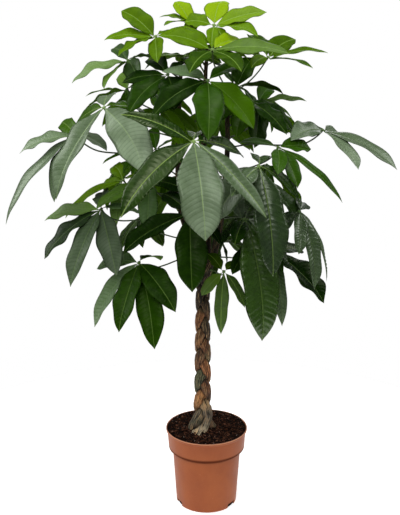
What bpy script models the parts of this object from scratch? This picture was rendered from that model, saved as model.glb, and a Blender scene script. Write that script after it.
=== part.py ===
"""A potted money tree: three stems plaited into one trunk, in soil, in a plastic nursery pot.

Metres, +Z up, the pot's base centre at the origin and the plant's front towards -Y. Every stem
and every compound leaf (petiole, hub and leaflets, which grew as one piece) is a solid of its own.
"""

import itertools
import math
import random
from typing import NamedTuple

import bmesh
import bpy
from mathutils import Matrix, Vector
from mathutils.bvhtree import BVHTree

TOUCH = 0.0003  # gap kept between two pieces that touch

# The pot: a tapered wall under a stepped collar.
POT_HEIGHT = 0.205
POT_SIDES = 48
RIM_RADIUS = 0.105
COLLAR_FOOT_RADIUS = 0.0985
COLLAR_DEPTH = 0.052
BODY_TOP_RADIUS = 0.0885
BASE_RADIUS = 0.0785
WALL = 0.0022
FLOOR = 0.003
LIP_BEAD = 0.0035
DRAIN_SLOTS = 3
FIRST_DRAIN = math.radians(-35)
DRAIN_SLOT_SIZE = (0.030, 0.022, 0.018)
DRAIN_HOLES = 4
DRAIN_HOLE_RADIUS = 0.005
DRAIN_HOLE_CIRCLE = 0.035

COLLAR_FOOT = POT_HEIGHT - COLLAR_DEPTH
EDGE_ROUNDING = 0.003

# The soil, slightly heaped round the trunk.
SOIL_EDGE = 0.1965
SOIL_HEAP = 0.003
SOIL_BUMPS = 0.001
SOIL_RINGS = 5

# The plait: each stem swings from side to side and weaves front to back twice as often.
PLAIT_FOOT = 0.150
PLAIT_TOP = 0.600
PARTING_TOP = 0.680  # above this the stems have drawn apart
PLAIT_PITCH = 0.165
PLAIT_PHASE = math.radians(41)
PLAIT_LEVEL = 0.0075
PLAIT_SWING = (0.0112, 0.0085)  # at the foot and at the top
PLAIT_WEAVE = (0.0075, 0.0055)
STEM_RADIUS = (0.0135, 0.0092)
FOOT_SPLAY = 0.010  # how much wider the stems swing at the plait's foot
FOOT_SPAN = 0.10  # the height over which the foot narrows to the plait
LEAN_TOP = 0.262  # below this each stem also leans out to its own place in the soil
FOOT_LEAN = {"stem_left": (0.007, 0.020), "stem_back": (-0.008, -0.013), "stem_right": (-0.011, -0.027)}
PLAIT_AXIS_X = -0.010
TIP_RADIUS = 0.0035
STEM_SIDES = 8
STEM_LEVEL = 0.030
STEM_CLEARANCE = 0.0012

# Waypoints that each stem passes above the plait, ending at its growing tip.
STEM_PATHS = {
    "stem_left": ((-0.032, -0.004, 0.68), (-0.064, 0.0, 0.78), (-0.069, 0.005, 0.95), (-0.062, 0.0, 1.10)),
    "stem_back": ((0.002, 0.024, 0.68), (-0.004, 0.052, 0.80), (-0.008, 0.060, 0.98), (0.000, 0.035, 1.16)),
    "stem_right": ((0.020, -0.012, 0.68), (0.038, -0.018, 0.80), (0.048, -0.020, 0.95), (0.042, 0.0, 1.08)),
}

# Compound leaves.
BLADE_THICKNESS = 0.0014
BLADE_FOLD = math.radians(13)
BLADE_ARCH = 0.13
WIDTH_RATIO = 0.36
STATIONS = ((0.22, 0.66), (0.50, 1.0), (0.77, 0.70))  # (share of the length, share of the width)
GUARD_BASE, GUARD_OUTER, GUARD_TIP = (0.05, 0.35), (0.20, 0.50), (1.0, 0.03)
HUB_RADIUS = 0.008
HUB_HALF_WIDTH = 0.0032
HUB_CROWN = 0.002  # how far the hub's top stands over its centre
HUB_NECK = 0.006  # how far under the hub's centre the petiole starts
BASE_ABOVE, BASE_BELOW = 0.0008, 0.0016  # a leaflet's thickness at the hub, over and under its edges
LEAFLET_SPREAD = math.radians(24)  # the least angle between two leaflets at the hub
TWIST = 0.2  # the share of its length over which a leaflet turns to its own roll
MOST_ROLL = 10  # degrees
PETIOLE_RADIUS = 0.0020
PETIOLE_FOOT_RADIUS = 0.0034
PETIOLE_SHARES = (1.0, 0.78, 0.5, 0.22, 0.0)
PETIOLE_FREE_SHARES, PETIOLE_STEM_SHARES = (1.0, 0.78, 0.5, 0.22, 0.1), (0.2, 0.08, 0.0)
PETIOLE_SWELLING = 0.2  # the share of the petiole over which its foot thickens
OUTWARD_TILT = math.radians(35)
SIDE_LEAN = 0.6  # how much of the lean follows the hub's place to the left or right
LIT_FRONT = 0.10  # leaves in front of this distance behind the axis lean forwards

# How leaves are fitted between each other: what room they keep, and how far they may move for it.
BLADE_CLEARANCE = 0.0022
PETIOLE_CLEARANCE = 0.0015
HUB_LIFTS = (0, 0.012, -0.012, 0.024, -0.024, 0.036, -0.036)
FOOT_STEP, FOOT_STEPS = 0.006, 20
FOOT_MARGIN = 0.010  # from a petiole to the plait below it or the stem's tip above it
SWING_STEP, MOST_SWING = 5, 30
LIFT_STEP, MOST_LIFT = 6, 36
STEEPEST, HIGHEST = -86, 60
SHRINKS = (1.0, 0.88, 0.76, 0.64)
SHRINK_COST = 25  # a whole leaflet's length weighs as much as this many steps of swing or lift
RAY_START = 0.05  # farther out than any stem's bark


class Leaf(NamedTuple):
    """A leaf's hub, the stem and height that its petiole grows from, and its leaflets.

    Each leaflet is (heading, rise, length) with an optional width: heading in degrees in plan
    from +X, rise in degrees above the level, length and width in centimetres.
    """

    name: str
    stem: str
    height: float
    hub: tuple
    leaflets: list


def whorl(count, first, rise, length):
    """Leaflets spread evenly round the hub, the ones that point back to the petiole shorter."""
    step = 360 / count
    shares = (1.0, 0.93, 0.78, 0.66, 0.66, 0.78, 0.93)
    lengths = [length * shares[round(n * len(shares) / count) % len(shares)] for n in range(count)]
    return [(first + step * n, rise - 6 * (n % 2), lengths[n]) for n in range(count)]


LEAVES = [
    # The big leaves that face the front.
    Leaf("leaf_front_centre", "stem_right", 0.90, (-0.03, -0.26, 0.97), [
        (-72, -68, 21, 9.5), (-159, -43, 22, 6.5), (-12, -45, 22, 4.5),
        (178, 20, 16, 4), (35, -18, 14, 5), (88, 0, 12, 4)]),
    Leaf("leaf_front_high", "stem_back", 1.02, (0.00, -0.14, 1.09), [
        (-90, -50, 17, 7), (-28, -42, 15, 6.5), (-155, -30, 15), (150, 8, 12), (50, 12, 13)]),
    Leaf("leaf_front_right", "stem_right", 0.84, (0.11, -0.20, 0.91), [
        (-60, -75, 24, 8), (-120, -25, 12), (172, -52, 16, 8), (25, -40, 14), (85, 0, 13)]),
    Leaf("leaf_low_right", "stem_right", 0.70, (0.085, -0.13, 0.78), [
        (-30, -80, 29, 9), (130, -50, 14), (35, -42, 18), (-105, -20, 11), (78, 0, 13)]),
    Leaf("leaf_low_centre", "stem_left", 0.72, (-0.04, -0.12, 0.79), [
        (-85, -70, 18, 7.5), (-175, -30, 18, 6.5), (20, -40, 11), (125, 15, 12), (75, 10, 12)]),
    # The left side, top to bottom.
    Leaf("leaf_left_front", "stem_left", 0.95, (-0.23, -0.12, 1.03), [
        (-38, -50, 18, 8.5), (-155, -59, 23, 8), (135, -25, 13, 5.5), (90, 8, 13), (38, -10, 12)]),
    Leaf("leaf_left_far", "stem_left", 0.90, (-0.31, -0.02, 0.96), [
        (170, -18, 15, 5.5), (-168, -50, 27, 7.5), (-124, -55, 17, 6.5), (115, 10, 12), (50, -25, 11)]),
    Leaf("leaf_left_middle", "stem_left", 0.76, (-0.25, -0.06, 0.79), [
        (-170, -40, 18), (160, -20, 16, 5), (-125, -55, 20, 6),
        (-65, -55, 17), (20, -10, 10), (95, 10, 12)]),
    Leaf("leaf_left_side", "stem_left", 0.81, (-0.205, 0.03, 0.845), [
        (-170, -32, 17, 6.5), (150, -22, 9, 4), (-105, -50, 12), (65, -10, 11), (110, 10, 11)]),
    Leaf("leaf_left_low", "stem_left", 0.66, (-0.16, -0.10, 0.67), [
        (-113, -52, 17.5, 6.5), (-80, -57, 21, 6.5), (-46, -38, 16.5, 6.5),
        (-173, -55, 19, 6), (145, -15, 14), (65, -10, 11)]),
    Leaf("leaf_left_inner", "stem_left", 0.86, (-0.13, 0.12, 0.91), [
        (-180, -15, 14), (-130, -35, 13), (-30, -30, 11), (100, 20, 12), (45, 8, 12)]),
    # The right side, top to bottom.
    Leaf("leaf_right_far", "stem_right", 0.93, (0.275, 0.00, 0.97), [
        (-135, -8, 12, 6), (-10, -27, 20, 7), (-45, -36, 14, 5), (48, -22, 12, 4.5), (110, -15, 11, 4)]),
    Leaf("leaf_right_upper", "stem_right", 0.87, (0.16, -0.10, 0.94), [
        (-95, -38, 11, 4), (-55, -50, 11, 4.5), (2, -40, 20, 3), (30, -6, 9.5, 4.5), (168, 5, 9)]),
    Leaf("leaf_right_middle", "stem_right", 0.76, (0.22, -0.04, 0.78), [
        (-95, -55, 11), (-45, -74, 19, 5), (28, -64, 20.5, 4.5), (-160, -50, 12), (80, 0, 12)]),
    Leaf("leaf_right_low", "stem_right", 0.66, (0.17, 0.05, 0.66), [
        (-25, -41, 18, 8.5), (-78, -70, 19, 4.5), (-132, -57, 12), (48, -10, 13), (110, 5, 11)]),
    # The young shoot that sits at the top of the plait.
    Leaf("leaf_shoot", "stem_right", 0.63, (0.04, -0.07, 0.64), [
        (-150, -40, 8, 3), (-100, -75, 15, 3.5), (-30, -55, 10, 3), (150, 40, 6, 3), (50, 5, 6, 3)]),
    # The top of the crown.
    Leaf("leaf_top_centre", "stem_back", 1.13, (0.015, 0.00, 1.21), [
        (0, 13, 12.5, 5), (-28, -7, 11.5, 5), (172, 5, 7, 5),
        (-95, -40, 8, 3), (-58, -48, 7, 2.5), (78, 32, 11, 6)]),
    Leaf("leaf_top_left", "stem_back", 1.12, (-0.04, 0.06, 1.22), [
        (127, 36, 8, 4.5), (160, 8, 8, 3.5), (-140, -8, 8, 4.5), (65, 12, 8), (-80, -15, 7, 3.5)]),
    Leaf("leaf_top_front", "stem_right", 1.06, (0.01, -0.10, 1.155), [
        (-9, -3, 17, 6.5), (172, 16, 11, 6.5), (-52, -22, 12, 5), (-115, -26, 11, 5), (75, 10, 12)]),
    Leaf("leaf_top_right", "stem_right", 1.05, (0.143, 0.02, 1.138), [
        (-5, 4, 14, 4), (-38, -11, 12.5, 4.5), (45, 22, 11, 5.5), (116, 28, 11, 5.5), (-120, -15, 9)]),
    Leaf("leaf_top_star", "stem_back", 1.00, (0.073, 0.12, 1.069), [
        (132, 34, 11.5, 6), (62, 34, 12, 6), (0, -10, 12, 5), (-50, -36, 10, 5), (-165, -10, 9)]),
    Leaf("leaf_upper_left", "stem_left", 1.09, (-0.12, 0.00, 1.185), [
        (152, 32, 11, 5.5), (-145, -24, 11, 6), (-18, -7, 13, 5.5),
        (40, 0, 9), (178, -4, 12, 5), (-85, -32, 11)]),
    Leaf("leaf_left_crown", "stem_left", 1.06, (-0.19, 0.06, 1.13), [
        (-170, -21, 14.5, 7.5), (-125, -35, 11, 6), (-70, -30, 10, 5), (115, 15, 11), (50, 0, 10)]),
    Leaf("leaf_left_star", "stem_back", 0.98, (-0.20, 0.13, 1.06), [
        (170, -10, 11), (-150, -24, 13, 5), (-20, -20, 11, 5), (-85, -45, 10), (105, 15, 12), (50, 10, 11)]),
    Leaf("leaf_centre_left", "stem_left", 1.03, (-0.09, -0.06, 1.10), [
        (-145, -38, 13, 6.5), (170, -10, 11), (-80, -38, 12, 6), (60, 15, 11), (118, 15, 12)]),
    Leaf("leaf_right_crown", "stem_right", 0.98, (0.13, 0.13, 1.03), [
        (-5, 0, 12, 5), (-45, -20, 12), (-88, -45, 15, 6.5), (-160, -20, 9), (70, 15, 12)]),
    # Leaves deep inside the crown.
    Leaf("leaf_inner_high_left", "stem_left", 0.99, (-0.11, 0.00, 1.02), whorl(6, -120, -32, 14)),
    Leaf("leaf_inner_high_right", "stem_right", 1.00, (0.10, -0.02, 1.04), whorl(6, -50, -30, 14)),
    Leaf("leaf_inner_right", "stem_right", 0.80, (0.13, 0.02, 0.85), whorl(6, -20, -55, 17)),
    Leaf("leaf_inner_left", "stem_left", 0.79, (-0.14, -0.01, 0.85), whorl(6, -150, -40, 15)),
    Leaf("leaf_inner_centre", "stem_back", 0.86, (0.03, -0.09, 0.87), whorl(5, -95, -45, 12)),
    Leaf("leaf_inner_low", "stem_right", 0.70, (0.12, -0.05, 0.71), whorl(5, -75, -45, 11)),
    Leaf("leaf_inner_top", "stem_back", 1.08, (-0.05, 0.03, 1.14), whorl(6, -140, -10, 12)),
    # The back of the crown.
    Leaf("leaf_back_top", "stem_back", 1.09, (0.03, 0.17, 1.16), whorl(6, 80, -18, 13)),
    Leaf("leaf_back_upper_left", "stem_left", 0.99, (-0.15, 0.24, 1.05), whorl(6, 120, -30, 17)),
    Leaf("leaf_back_upper_right", "stem_right", 0.95, (0.14, 0.22, 1.02), whorl(6, 45, -36, 15)),
    Leaf("leaf_back_centre", "stem_back", 0.90, (0.02, 0.30, 0.99), whorl(7, 95, -38, 20)),
    Leaf("leaf_back_left", "stem_left", 0.83, (-0.18, 0.22, 0.88), whorl(6, 145, -50, 18)),
    Leaf("leaf_back_right", "stem_right", 0.83, (0.16, 0.20, 0.86), whorl(6, 30, -54, 18)),
    Leaf("leaf_back_middle", "stem_back", 0.80, (-0.05, 0.28, 0.83), whorl(6, 100, -48, 20)),
    Leaf("leaf_back_inner", "stem_back", 0.74, (0.11, 0.25, 0.78), whorl(6, 70, -48, 19)),
    Leaf("leaf_back_low_left", "stem_back", 0.68, (-0.17, 0.17, 0.73), whorl(5, 130, -48, 15)),
    Leaf("leaf_back_low", "stem_back", 0.65, (0.02, 0.20, 0.68), whorl(5, 85, -42, 15)),
]


def srgb(red, green, blue):
    """A linear colour from 8-bit sRGB values."""
    linear = [((c / 255 + 0.055) / 1.055) ** 2.4 if c > 10 else c / 3295 for c in (red, green, blue)]
    return (*linear, 1.0)


def material(name, colour, roughness):
    made = bpy.data.materials.new(name)
    made.use_nodes = True
    shader = made.node_tree.nodes["Principled BSDF"]
    shader.inputs["Base Color"].default_value = srgb(*colour)
    shader.inputs["Roughness"].default_value = roughness
    shader.inputs["Metallic"].default_value = 0.0
    made.diffuse_color = srgb(*colour)
    return made


def add_object(name, bm, finish, smooth_angle=40):
    """Closes off a bmesh as an object with outward faces and smooth shading."""
    bmesh.ops.recalc_face_normals(bm, faces=bm.faces[:])
    mesh = bpy.data.meshes.new(name)
    bm.to_mesh(mesh)
    bm.free()
    mesh.materials.append(finish)
    mesh.shade_smooth()
    mesh.set_sharp_from_angle(angle=math.radians(smooth_angle))
    made = bpy.data.objects.new(name, mesh)
    bpy.context.collection.objects.link(made)
    return made


def lathe(bm, profile, sides):
    """Turns an (r, z) profile that starts and ends on the axis into a closed solid."""
    rings = []
    for radius, z in profile:
        if radius == 0:
            rings.append([bm.verts.new((0, 0, z))])
            continue
        angles = [2 * math.pi * n / sides for n in range(sides)]
        rings.append([bm.verts.new((radius * math.cos(a), radius * math.sin(a), z)) for a in angles])
    for low, high in itertools.pairwise(rings):
        for n in range(sides):
            m = (n + 1) % sides
            corners = [low[n % len(low)], low[m % len(low)], high[m % len(high)], high[n % len(high)]]
            bm.faces.new(list(dict.fromkeys(corners)))


def cut(target, cutter):
    """Takes the cutter out of the target and keeps the cutter as a hidden helper."""
    cutter.hide_render = True
    cutter.display_type = "WIRE"
    boolean = target.modifiers.new("Cut " + cutter.name, "BOOLEAN")
    boolean.operation = "DIFFERENCE"
    boolean.solver = "EXACT"
    boolean.object = cutter


def body_radius(z):
    """The pot wall's outer radius at a height below the collar."""
    return BASE_RADIUS + (BODY_TOP_RADIUS - BASE_RADIUS) * z / COLLAR_FOOT


def bore_radius(z):
    """The pot's inner radius: the body's taper, then the wider collar."""
    if z <= COLLAR_FOOT:
        return body_radius(z) - WALL
    share = (z - COLLAR_FOOT) / COLLAR_DEPTH
    return COLLAR_FOOT_RADIUS + (RIM_RADIUS - LIP_BEAD - COLLAR_FOOT_RADIUS) * share - WALL


def build_pot(finish):
    profile = [
        (0, 0),
        (BASE_RADIUS - EDGE_ROUNDING, 0),
        (BASE_RADIUS, EDGE_ROUNDING),
        (body_radius(COLLAR_FOOT - WALL), COLLAR_FOOT - WALL),
        (COLLAR_FOOT_RADIUS - WALL / 2, COLLAR_FOOT - WALL),
        (COLLAR_FOOT_RADIUS, COLLAR_FOOT),
        (RIM_RADIUS - LIP_BEAD, POT_HEIGHT - 3 * LIP_BEAD),
        (RIM_RADIUS, POT_HEIGHT - LIP_BEAD),
        (RIM_RADIUS - LIP_BEAD / 3, POT_HEIGHT),
        (RIM_RADIUS - LIP_BEAD, POT_HEIGHT),
        (bore_radius(POT_HEIGHT - 2 * LIP_BEAD), POT_HEIGHT - 2 * LIP_BEAD),
        (bore_radius(COLLAR_FOOT + 3 * WALL), COLLAR_FOOT + 3 * WALL),
        (bore_radius(COLLAR_FOOT), COLLAR_FOOT),
        (bore_radius(FLOOR), FLOOR),
        (0, FLOOR),
    ]
    bm = bmesh.new()
    lathe(bm, profile, POT_SIDES)
    pot = add_object("pot", bm, finish)
    for n in range(DRAIN_SLOTS):
        angle = FIRST_DRAIN + 2 * math.pi * n / DRAIN_SLOTS
        turn = Matrix.Rotation(angle, 4, "Z") @ Matrix.Translation((BASE_RADIUS, 0, 0))
        bm = bmesh.new()
        bmesh.ops.create_cube(bm, size=1, matrix=turn @ Matrix.Diagonal((*DRAIN_SLOT_SIZE, 1)))
        cut(pot, add_object(f"drain_slot_cutter_{n}", bm, finish))
    for n in range(DRAIN_HOLES):
        angle = math.radians(45) + 2 * math.pi * n / DRAIN_HOLES
        place = Matrix.Rotation(angle, 4, "Z") @ Matrix.Translation((DRAIN_HOLE_CIRCLE, 0, 0))
        bm = bmesh.new()
        bmesh.ops.create_cone(bm, cap_ends=True, segments=12, radius1=DRAIN_HOLE_RADIUS,
                              radius2=DRAIN_HOLE_RADIUS, depth=4 * FLOOR, matrix=place)
        cut(pot, add_object(f"drain_hole_cutter_{n}", bm, finish))
    return pot


def build_soil(finish, stems):
    edge = bore_radius(SOIL_EDGE) - TOUCH
    profile = [
        (0, FLOOR + TOUCH),
        (bore_radius(FLOOR) - TOUCH, FLOOR + TOUCH),
        (bore_radius(COLLAR_FOOT) - TOUCH, COLLAR_FOOT),
        (edge, SOIL_EDGE),
    ]
    for n in range(1, SOIL_RINGS):
        share = n / SOIL_RINGS
        profile.append((edge * (1 - share), SOIL_EDGE + SOIL_HEAP * math.sin(share * math.pi / 2)))
    profile.append((0, SOIL_EDGE + SOIL_HEAP))
    bm = bmesh.new()
    lathe(bm, profile, POT_SIDES)
    for vert in bm.verts:
        x, y, z = vert.co
        if z > SOIL_EDGE:
            vert.co.z += SOIL_BUMPS * math.sin(95 * x + 60 * y) * math.cos(110 * y - 40 * x)
    soil = add_object("soil", bm, finish)
    for name in stems:
        pocket = bmesh.new()
        rings = [stem_section(name, z, 2 * TOUCH) for z in plait_levels() if z < LEAN_TOP]
        under = [point - Vector((0, 0, TOUCH)) for point in rings[0]]
        add_tube(pocket, [under] + rings)
        cut(soil, add_object(f"pocket_cutter_{name}", pocket, finish))
    return soil


def plait_levels():
    count = round((PLAIT_TOP - PLAIT_FOOT) / PLAIT_LEVEL)
    return [PLAIT_FOOT + PLAIT_LEVEL * n for n in range(count + 1)]


def blend(start, end, share):
    return start + (end - start) * share


def foot_share(z):
    """1 at the foot of the plait, falling to 0 where the foot ends."""
    return max(0.0, 1 - (z - PLAIT_FOOT) / FOOT_SPAN)


def lean_share(z):
    """1 at the soil's edge and below, falling to 0 where the stems stop leaning out."""
    return min(1.0, max(0.0, (LEAN_TOP - z) / (LEAN_TOP - SOIL_EDGE)))


def plait_centre(name, z):
    """Where a stem's centre is inside the plait."""
    share = (z - PLAIT_FOOT) / (PLAIT_TOP - PLAIT_FOOT)
    phase = PLAIT_PHASE + 2 * math.pi * (z / PLAIT_PITCH + list(STEM_PATHS).index(name) / len(STEM_PATHS))
    swing = blend(*PLAIT_SWING, share) + FOOT_SPLAY * foot_share(z) ** 1.5
    weave = blend(*PLAIT_WEAVE, share) + FOOT_SPLAY / 2 * foot_share(z) ** 1.5
    lean = Vector(FOOT_LEAN[name]) * lean_share(z) ** 1.5
    return Vector((PLAIT_AXIS_X + swing * math.sin(phase) + lean.x, weave * math.sin(2 * phase) + lean.y, z))


def stem_centre(name, z):
    """The stem's centre line at a height: the plait, then a smooth way through the waypoints."""
    if z <= PLAIT_TOP:
        return plait_centre(name, z)
    points = [plait_centre(name, PLAIT_TOP - PLAIT_LEVEL), plait_centre(name, PLAIT_TOP)]
    points += [Vector(point) for point in STEM_PATHS[name]]
    points.append(2 * points[-1] - points[-2])
    after = next(n for n in range(2, len(points) - 1) if z <= points[n].z + 1e-6)
    before, start, end, following = points[after - 2 : after + 2]
    share = (z - start.z) / (end.z - start.z)
    rise_in = (end - before) * ((end.z - start.z) / (end.z - before.z))
    rise_out = (following - start) * ((end.z - start.z) / (following.z - start.z))
    square, cube = share * share, share * share * share
    centre = start * (2 * cube - 3 * square + 1) + end * (3 * square - 2 * cube)
    centre += rise_in * (cube - 2 * square + share) + rise_out * (cube - square)
    return Vector((centre.x, centre.y, z))


def stem_radius(name, z):
    if z <= PLAIT_TOP:
        return blend(*STEM_RADIUS, (z - PLAIT_FOOT) / (PLAIT_TOP - PLAIT_FOOT))
    top = STEM_PATHS[name][-1][2]
    return blend(STEM_RADIUS[1], TIP_RADIUS, (z - PLAIT_TOP) / (top - PLAIT_TOP))


def room_for_stem(name, z, ray):
    """How far a stem may reach along a level ray before it bears on another stem."""
    centre = stem_centre(name, z)
    room = math.inf
    for other, path in STEM_PATHS.items():
        if other == name or z > path[-1][2]:
            continue
        towards = stem_centre(other, z) - centre
        facing = ray.dot(towards.normalized())
        if facing > 0:
            room = min(room, (towards.length - STEM_CLEARANCE) / 2 / facing)
    return room


def stem_section(name, z, extra=0.0):
    """A level ring of points round the stem, pressed flat where a neighbouring stem bears on it."""
    centre = stem_centre(name, z)
    near_levels = (z - PLAIT_LEVEL / 2, z, min(z + PLAIT_LEVEL / 2, STEM_PATHS[name][-1][2]))
    ring = []
    for n in range(STEM_SIDES):
        angle = 2 * math.pi * (n + 0.5) / STEM_SIDES
        ray = Vector((math.cos(angle), math.sin(angle), 0))
        reach = min([stem_radius(name, z)] + [room_for_stem(name, level, ray) for level in near_levels])
        ring.append(centre + ray * (reach + extra))
    return ring


def skin(bm, low, high):
    """Joins two rings of vertices with triangles, every quad split the same way."""
    for n in range(len(low)):
        m = (n + 1) % len(low)
        bm.faces.new((low[n], low[m], high[m]))
        bm.faces.new((low[n], high[m], high[n]))


def add_tube(bm, rings):
    """Skins a row of rings with equal counts and closes both ends."""
    made = [[bm.verts.new(point) for point in ring] for ring in rings]
    for low, high in itertools.pairwise(made):
        skin(bm, low, high)
    bm.faces.new(made[0][::-1])
    bm.faces.new(made[-1])


def build_stem(name, finish):
    top = STEM_PATHS[name][-1][2]
    levels = plait_levels()
    levels += [PLAIT_TOP + PLAIT_LEVEL * n for n in range(1, round((PARTING_TOP - PLAIT_TOP) / PLAIT_LEVEL))]
    count = math.ceil((top - PARTING_TOP) / STEM_LEVEL)
    levels += [blend(PARTING_TOP, top, n / count) for n in range(count + 1)]
    bm = bmesh.new()
    add_tube(bm, [stem_section(name, z) for z in levels])
    return add_object(name, bm, finish, smooth_angle=60)


def direction(heading, rise):
    heading, rise = math.radians(heading), math.radians(rise)
    flat = math.cos(rise)
    return Vector((flat * math.cos(heading), flat * math.sin(heading), math.sin(rise)))


def hub_normal(hub):
    """Leaves face up and lean outwards, most of them to the lit front."""
    outward = Vector((SIDE_LEAN * hub.x, hub.y - LIT_FRONT, 0))
    lean = OUTWARD_TILT * min(1.0, outward.length / LIT_FRONT)
    return Vector((0, 0, 1)) * math.cos(lean) + outward.normalized() * math.sin(lean)


class Blade:
    """One leaflet: a shallow V folded along its midrib, arched from the hub to the tip."""

    def __init__(self, hub, normal, heading, rise, length, width, roll):
        chord = direction(heading, rise) * length
        self.normal, self.width = normal, width
        self.radial = (chord - normal * chord.dot(normal)).normalized()
        lift = Vector((0, 0, 1)) - chord * (chord.z / chord.length_squared)
        lift = lift.normalized() if lift.length > 0.1 else self.radial
        self.start = hub + self.radial * HUB_RADIUS
        self.tip = hub + chord
        self.bow = (self.start + self.tip) / 2 + lift * (BLADE_ARCH * length)
        self.side = Matrix.Rotation(roll, 3, chord) @ normal.cross(chord).normalized()

    def frame(self, share):
        """Centre, sideways axis and upper-face axis at a share of the leaflet's length."""
        start, bow, tip = self.start, self.bow, self.tip
        centre = start * (1 - share) ** 2 + bow * (2 * share * (1 - share)) + tip * share**2
        along = ((bow - start) * (1 - share) + (tip - bow) * share).normalized()
        ease = min(1.0, share / TWIST)
        side = self.normal.cross(self.radial) * (1 - ease) + self.side * ease
        side = (side - along * side.dot(along)).normalized()
        return centre, side, side.cross(along) * -1

    def section(self, share, width_share, spare=0.0):
        """Clockwise edge, upper midrib, anticlockwise edge and lower midrib."""
        centre, side, up = self.frame(share)
        half = self.width * width_share / 2
        edge = side * (half * math.cos(BLADE_FOLD) + spare)
        raised = up * (half * math.sin(BLADE_FOLD))
        thick = up * (BLADE_THICKNESS / 2 + spare)
        return [centre - edge + raised, centre + thick, centre + edge + raised, centre - thick]

    def sections(self):
        return [self.section(*station) for station in STATIONS]

    def guard(self, first):
        """A fatter copy of the leaflet from its first station on, to test for room."""
        bm = bmesh.new()
        stations = [first] + [station for station in STATIONS if station[0] > first[0]] + [GUARD_TIP]
        add_tube(bm, [self.section(*station, BLADE_CLEARANCE) for station in stations])
        return Guard(bm)


class Guard:
    """A closed shape kept clear of all others, with its box for a quick first test."""

    def __init__(self, bm):
        self.tree = BVHTree.FromBMesh(bm)
        self.low = Vector([min(v.co[n] for v in bm.verts) for n in range(3)])
        self.high = Vector([max(v.co[n] for v in bm.verts) for n in range(3)])
        bm.free()

    def touches(self, other):
        apart = any(self.low[n] > other.high[n] or self.high[n] < other.low[n] for n in range(3))
        return not apart and bool(self.tree.overlap(other.tree))


def mesh_copy(obj):
    bm = bmesh.new()
    bm.from_mesh(obj.data)
    return bm


def petiole_rings(foot, foot_normal, hub, normal, count, across, extra=0.0, shares=PETIOLE_SHARES):
    """Rings from just under the hub down to the stem, without twist between them."""
    d = hub - normal * HUB_NECK
    reach = (d - foot).length
    out_of_stem = (foot_normal + Vector((0, 0, 0.5))).normalized()
    a = foot
    b = foot + foot_normal * (0.08 * reach) + out_of_stem * (0.28 * reach)
    c = d - normal * (0.35 * reach)
    along_before = normal
    rings = []
    for share in shares:
        centre = a * (1 - share) ** 3 + b * (3 * share * (1 - share) ** 2)
        centre += c * (3 * share**2 * (1 - share)) + d * share**3
        along = (b - a) * (1 - share) ** 2 + (c - b) * (2 * share * (1 - share)) + (d - c) * share**2
        along = foot_normal if share == 0 else along.normalized()
        across = along_before.rotation_difference(along) @ across
        along_before = along
        radius = blend(PETIOLE_FOOT_RADIUS, PETIOLE_RADIUS, min(1.0, share / PETIOLE_SWELLING)) + extra
        turns = [Matrix.Rotation(2 * math.pi * n / count, 3, along) @ across for n in range(count)]
        rings.append([centre + turn * radius for turn in turns])
    return rings


def petiole_foot(stem_tree, name, height, hub):
    """The point and face normal where a petiole meets its stem, just off the bark."""
    centre = stem_centre(name, height)
    outward = hub - centre
    outward.z = 0
    outward.normalize()
    point, face_normal, _, _ = stem_tree.ray_cast(centre + outward * RAY_START, -outward)
    return point + face_normal * TOUCH, face_normal


def foot_heights(leaf):
    """The leaf's own height on its stem, then others near it."""
    low, high = PLAIT_TOP + FOOT_MARGIN, STEM_PATHS[leaf.stem][-1][2] - FOOT_MARGIN
    offsets = sorted((step * FOOT_STEP for step in range(-FOOT_STEPS, FOOT_STEPS + 1)), key=abs)
    return [leaf.height + offset for offset in offsets if low <= leaf.height + offset <= high]


def hub_guard(hub):
    bm = bmesh.new()
    place = Matrix.Translation(hub)
    bmesh.ops.create_icosphere(bm, subdivisions=1, radius=HUB_RADIUS + BLADE_CLEARANCE, matrix=place)
    return Guard(bm)


def petiole_guard(foot, foot_normal, hub, normal, extra, shares):
    bm = bmesh.new()
    across = normal.orthogonal().normalized()
    add_tube(bm, petiole_rings(foot, foot_normal, hub, normal, 6, across, extra, shares))
    return Guard(bm)


def settle_petiole(leaf, stem_tree, placed, stem_count):
    """The leaf's hub and its petiole's foot, moved a little where another piece is in the way."""
    for lift, height in itertools.product(HUB_LIFTS, foot_heights(leaf)):
        hub = Vector(leaf.hub) + Vector((0, 0, lift))
        normal = hub_normal(hub)
        foot, foot_normal = petiole_foot(stem_tree, leaf.stem, height, hub)
        ends = (foot, foot_normal, hub, normal)
        free = [hub_guard(hub), petiole_guard(*ends, PETIOLE_CLEARANCE, PETIOLE_FREE_SHARES)]
        at_stem = petiole_guard(*ends, TOUCH, PETIOLE_STEM_SHARES)
        blocked = any(guard.touches(other) for guard in free for other in placed)
        if not blocked and not any(at_stem.touches(other) for other in placed[stem_count:]):
            return ends, free + [at_stem]
    raise RuntimeError(f"{leaf.name} finds no room for its petiole")


def leaflet_poses(heading, rise):
    """The wanted pose, then poses ever further from it."""
    swings = range(-MOST_SWING, MOST_SWING + 1, SWING_STEP)
    lifts = range(-MOST_LIFT, MOST_LIFT + 1, LIFT_STEP)
    offers = []
    for swing, lift, shrink in itertools.product(swings, lifts, SHRINKS):
        cost = abs(swing) / SWING_STEP + abs(lift) / LIFT_STEP + (1 - shrink) * SHRINK_COST
        offers.append((cost, swing, lift, shrink))
    return [(heading + swing, rise + lift, shrink) for _, swing, lift, shrink in sorted(offers)]


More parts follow.
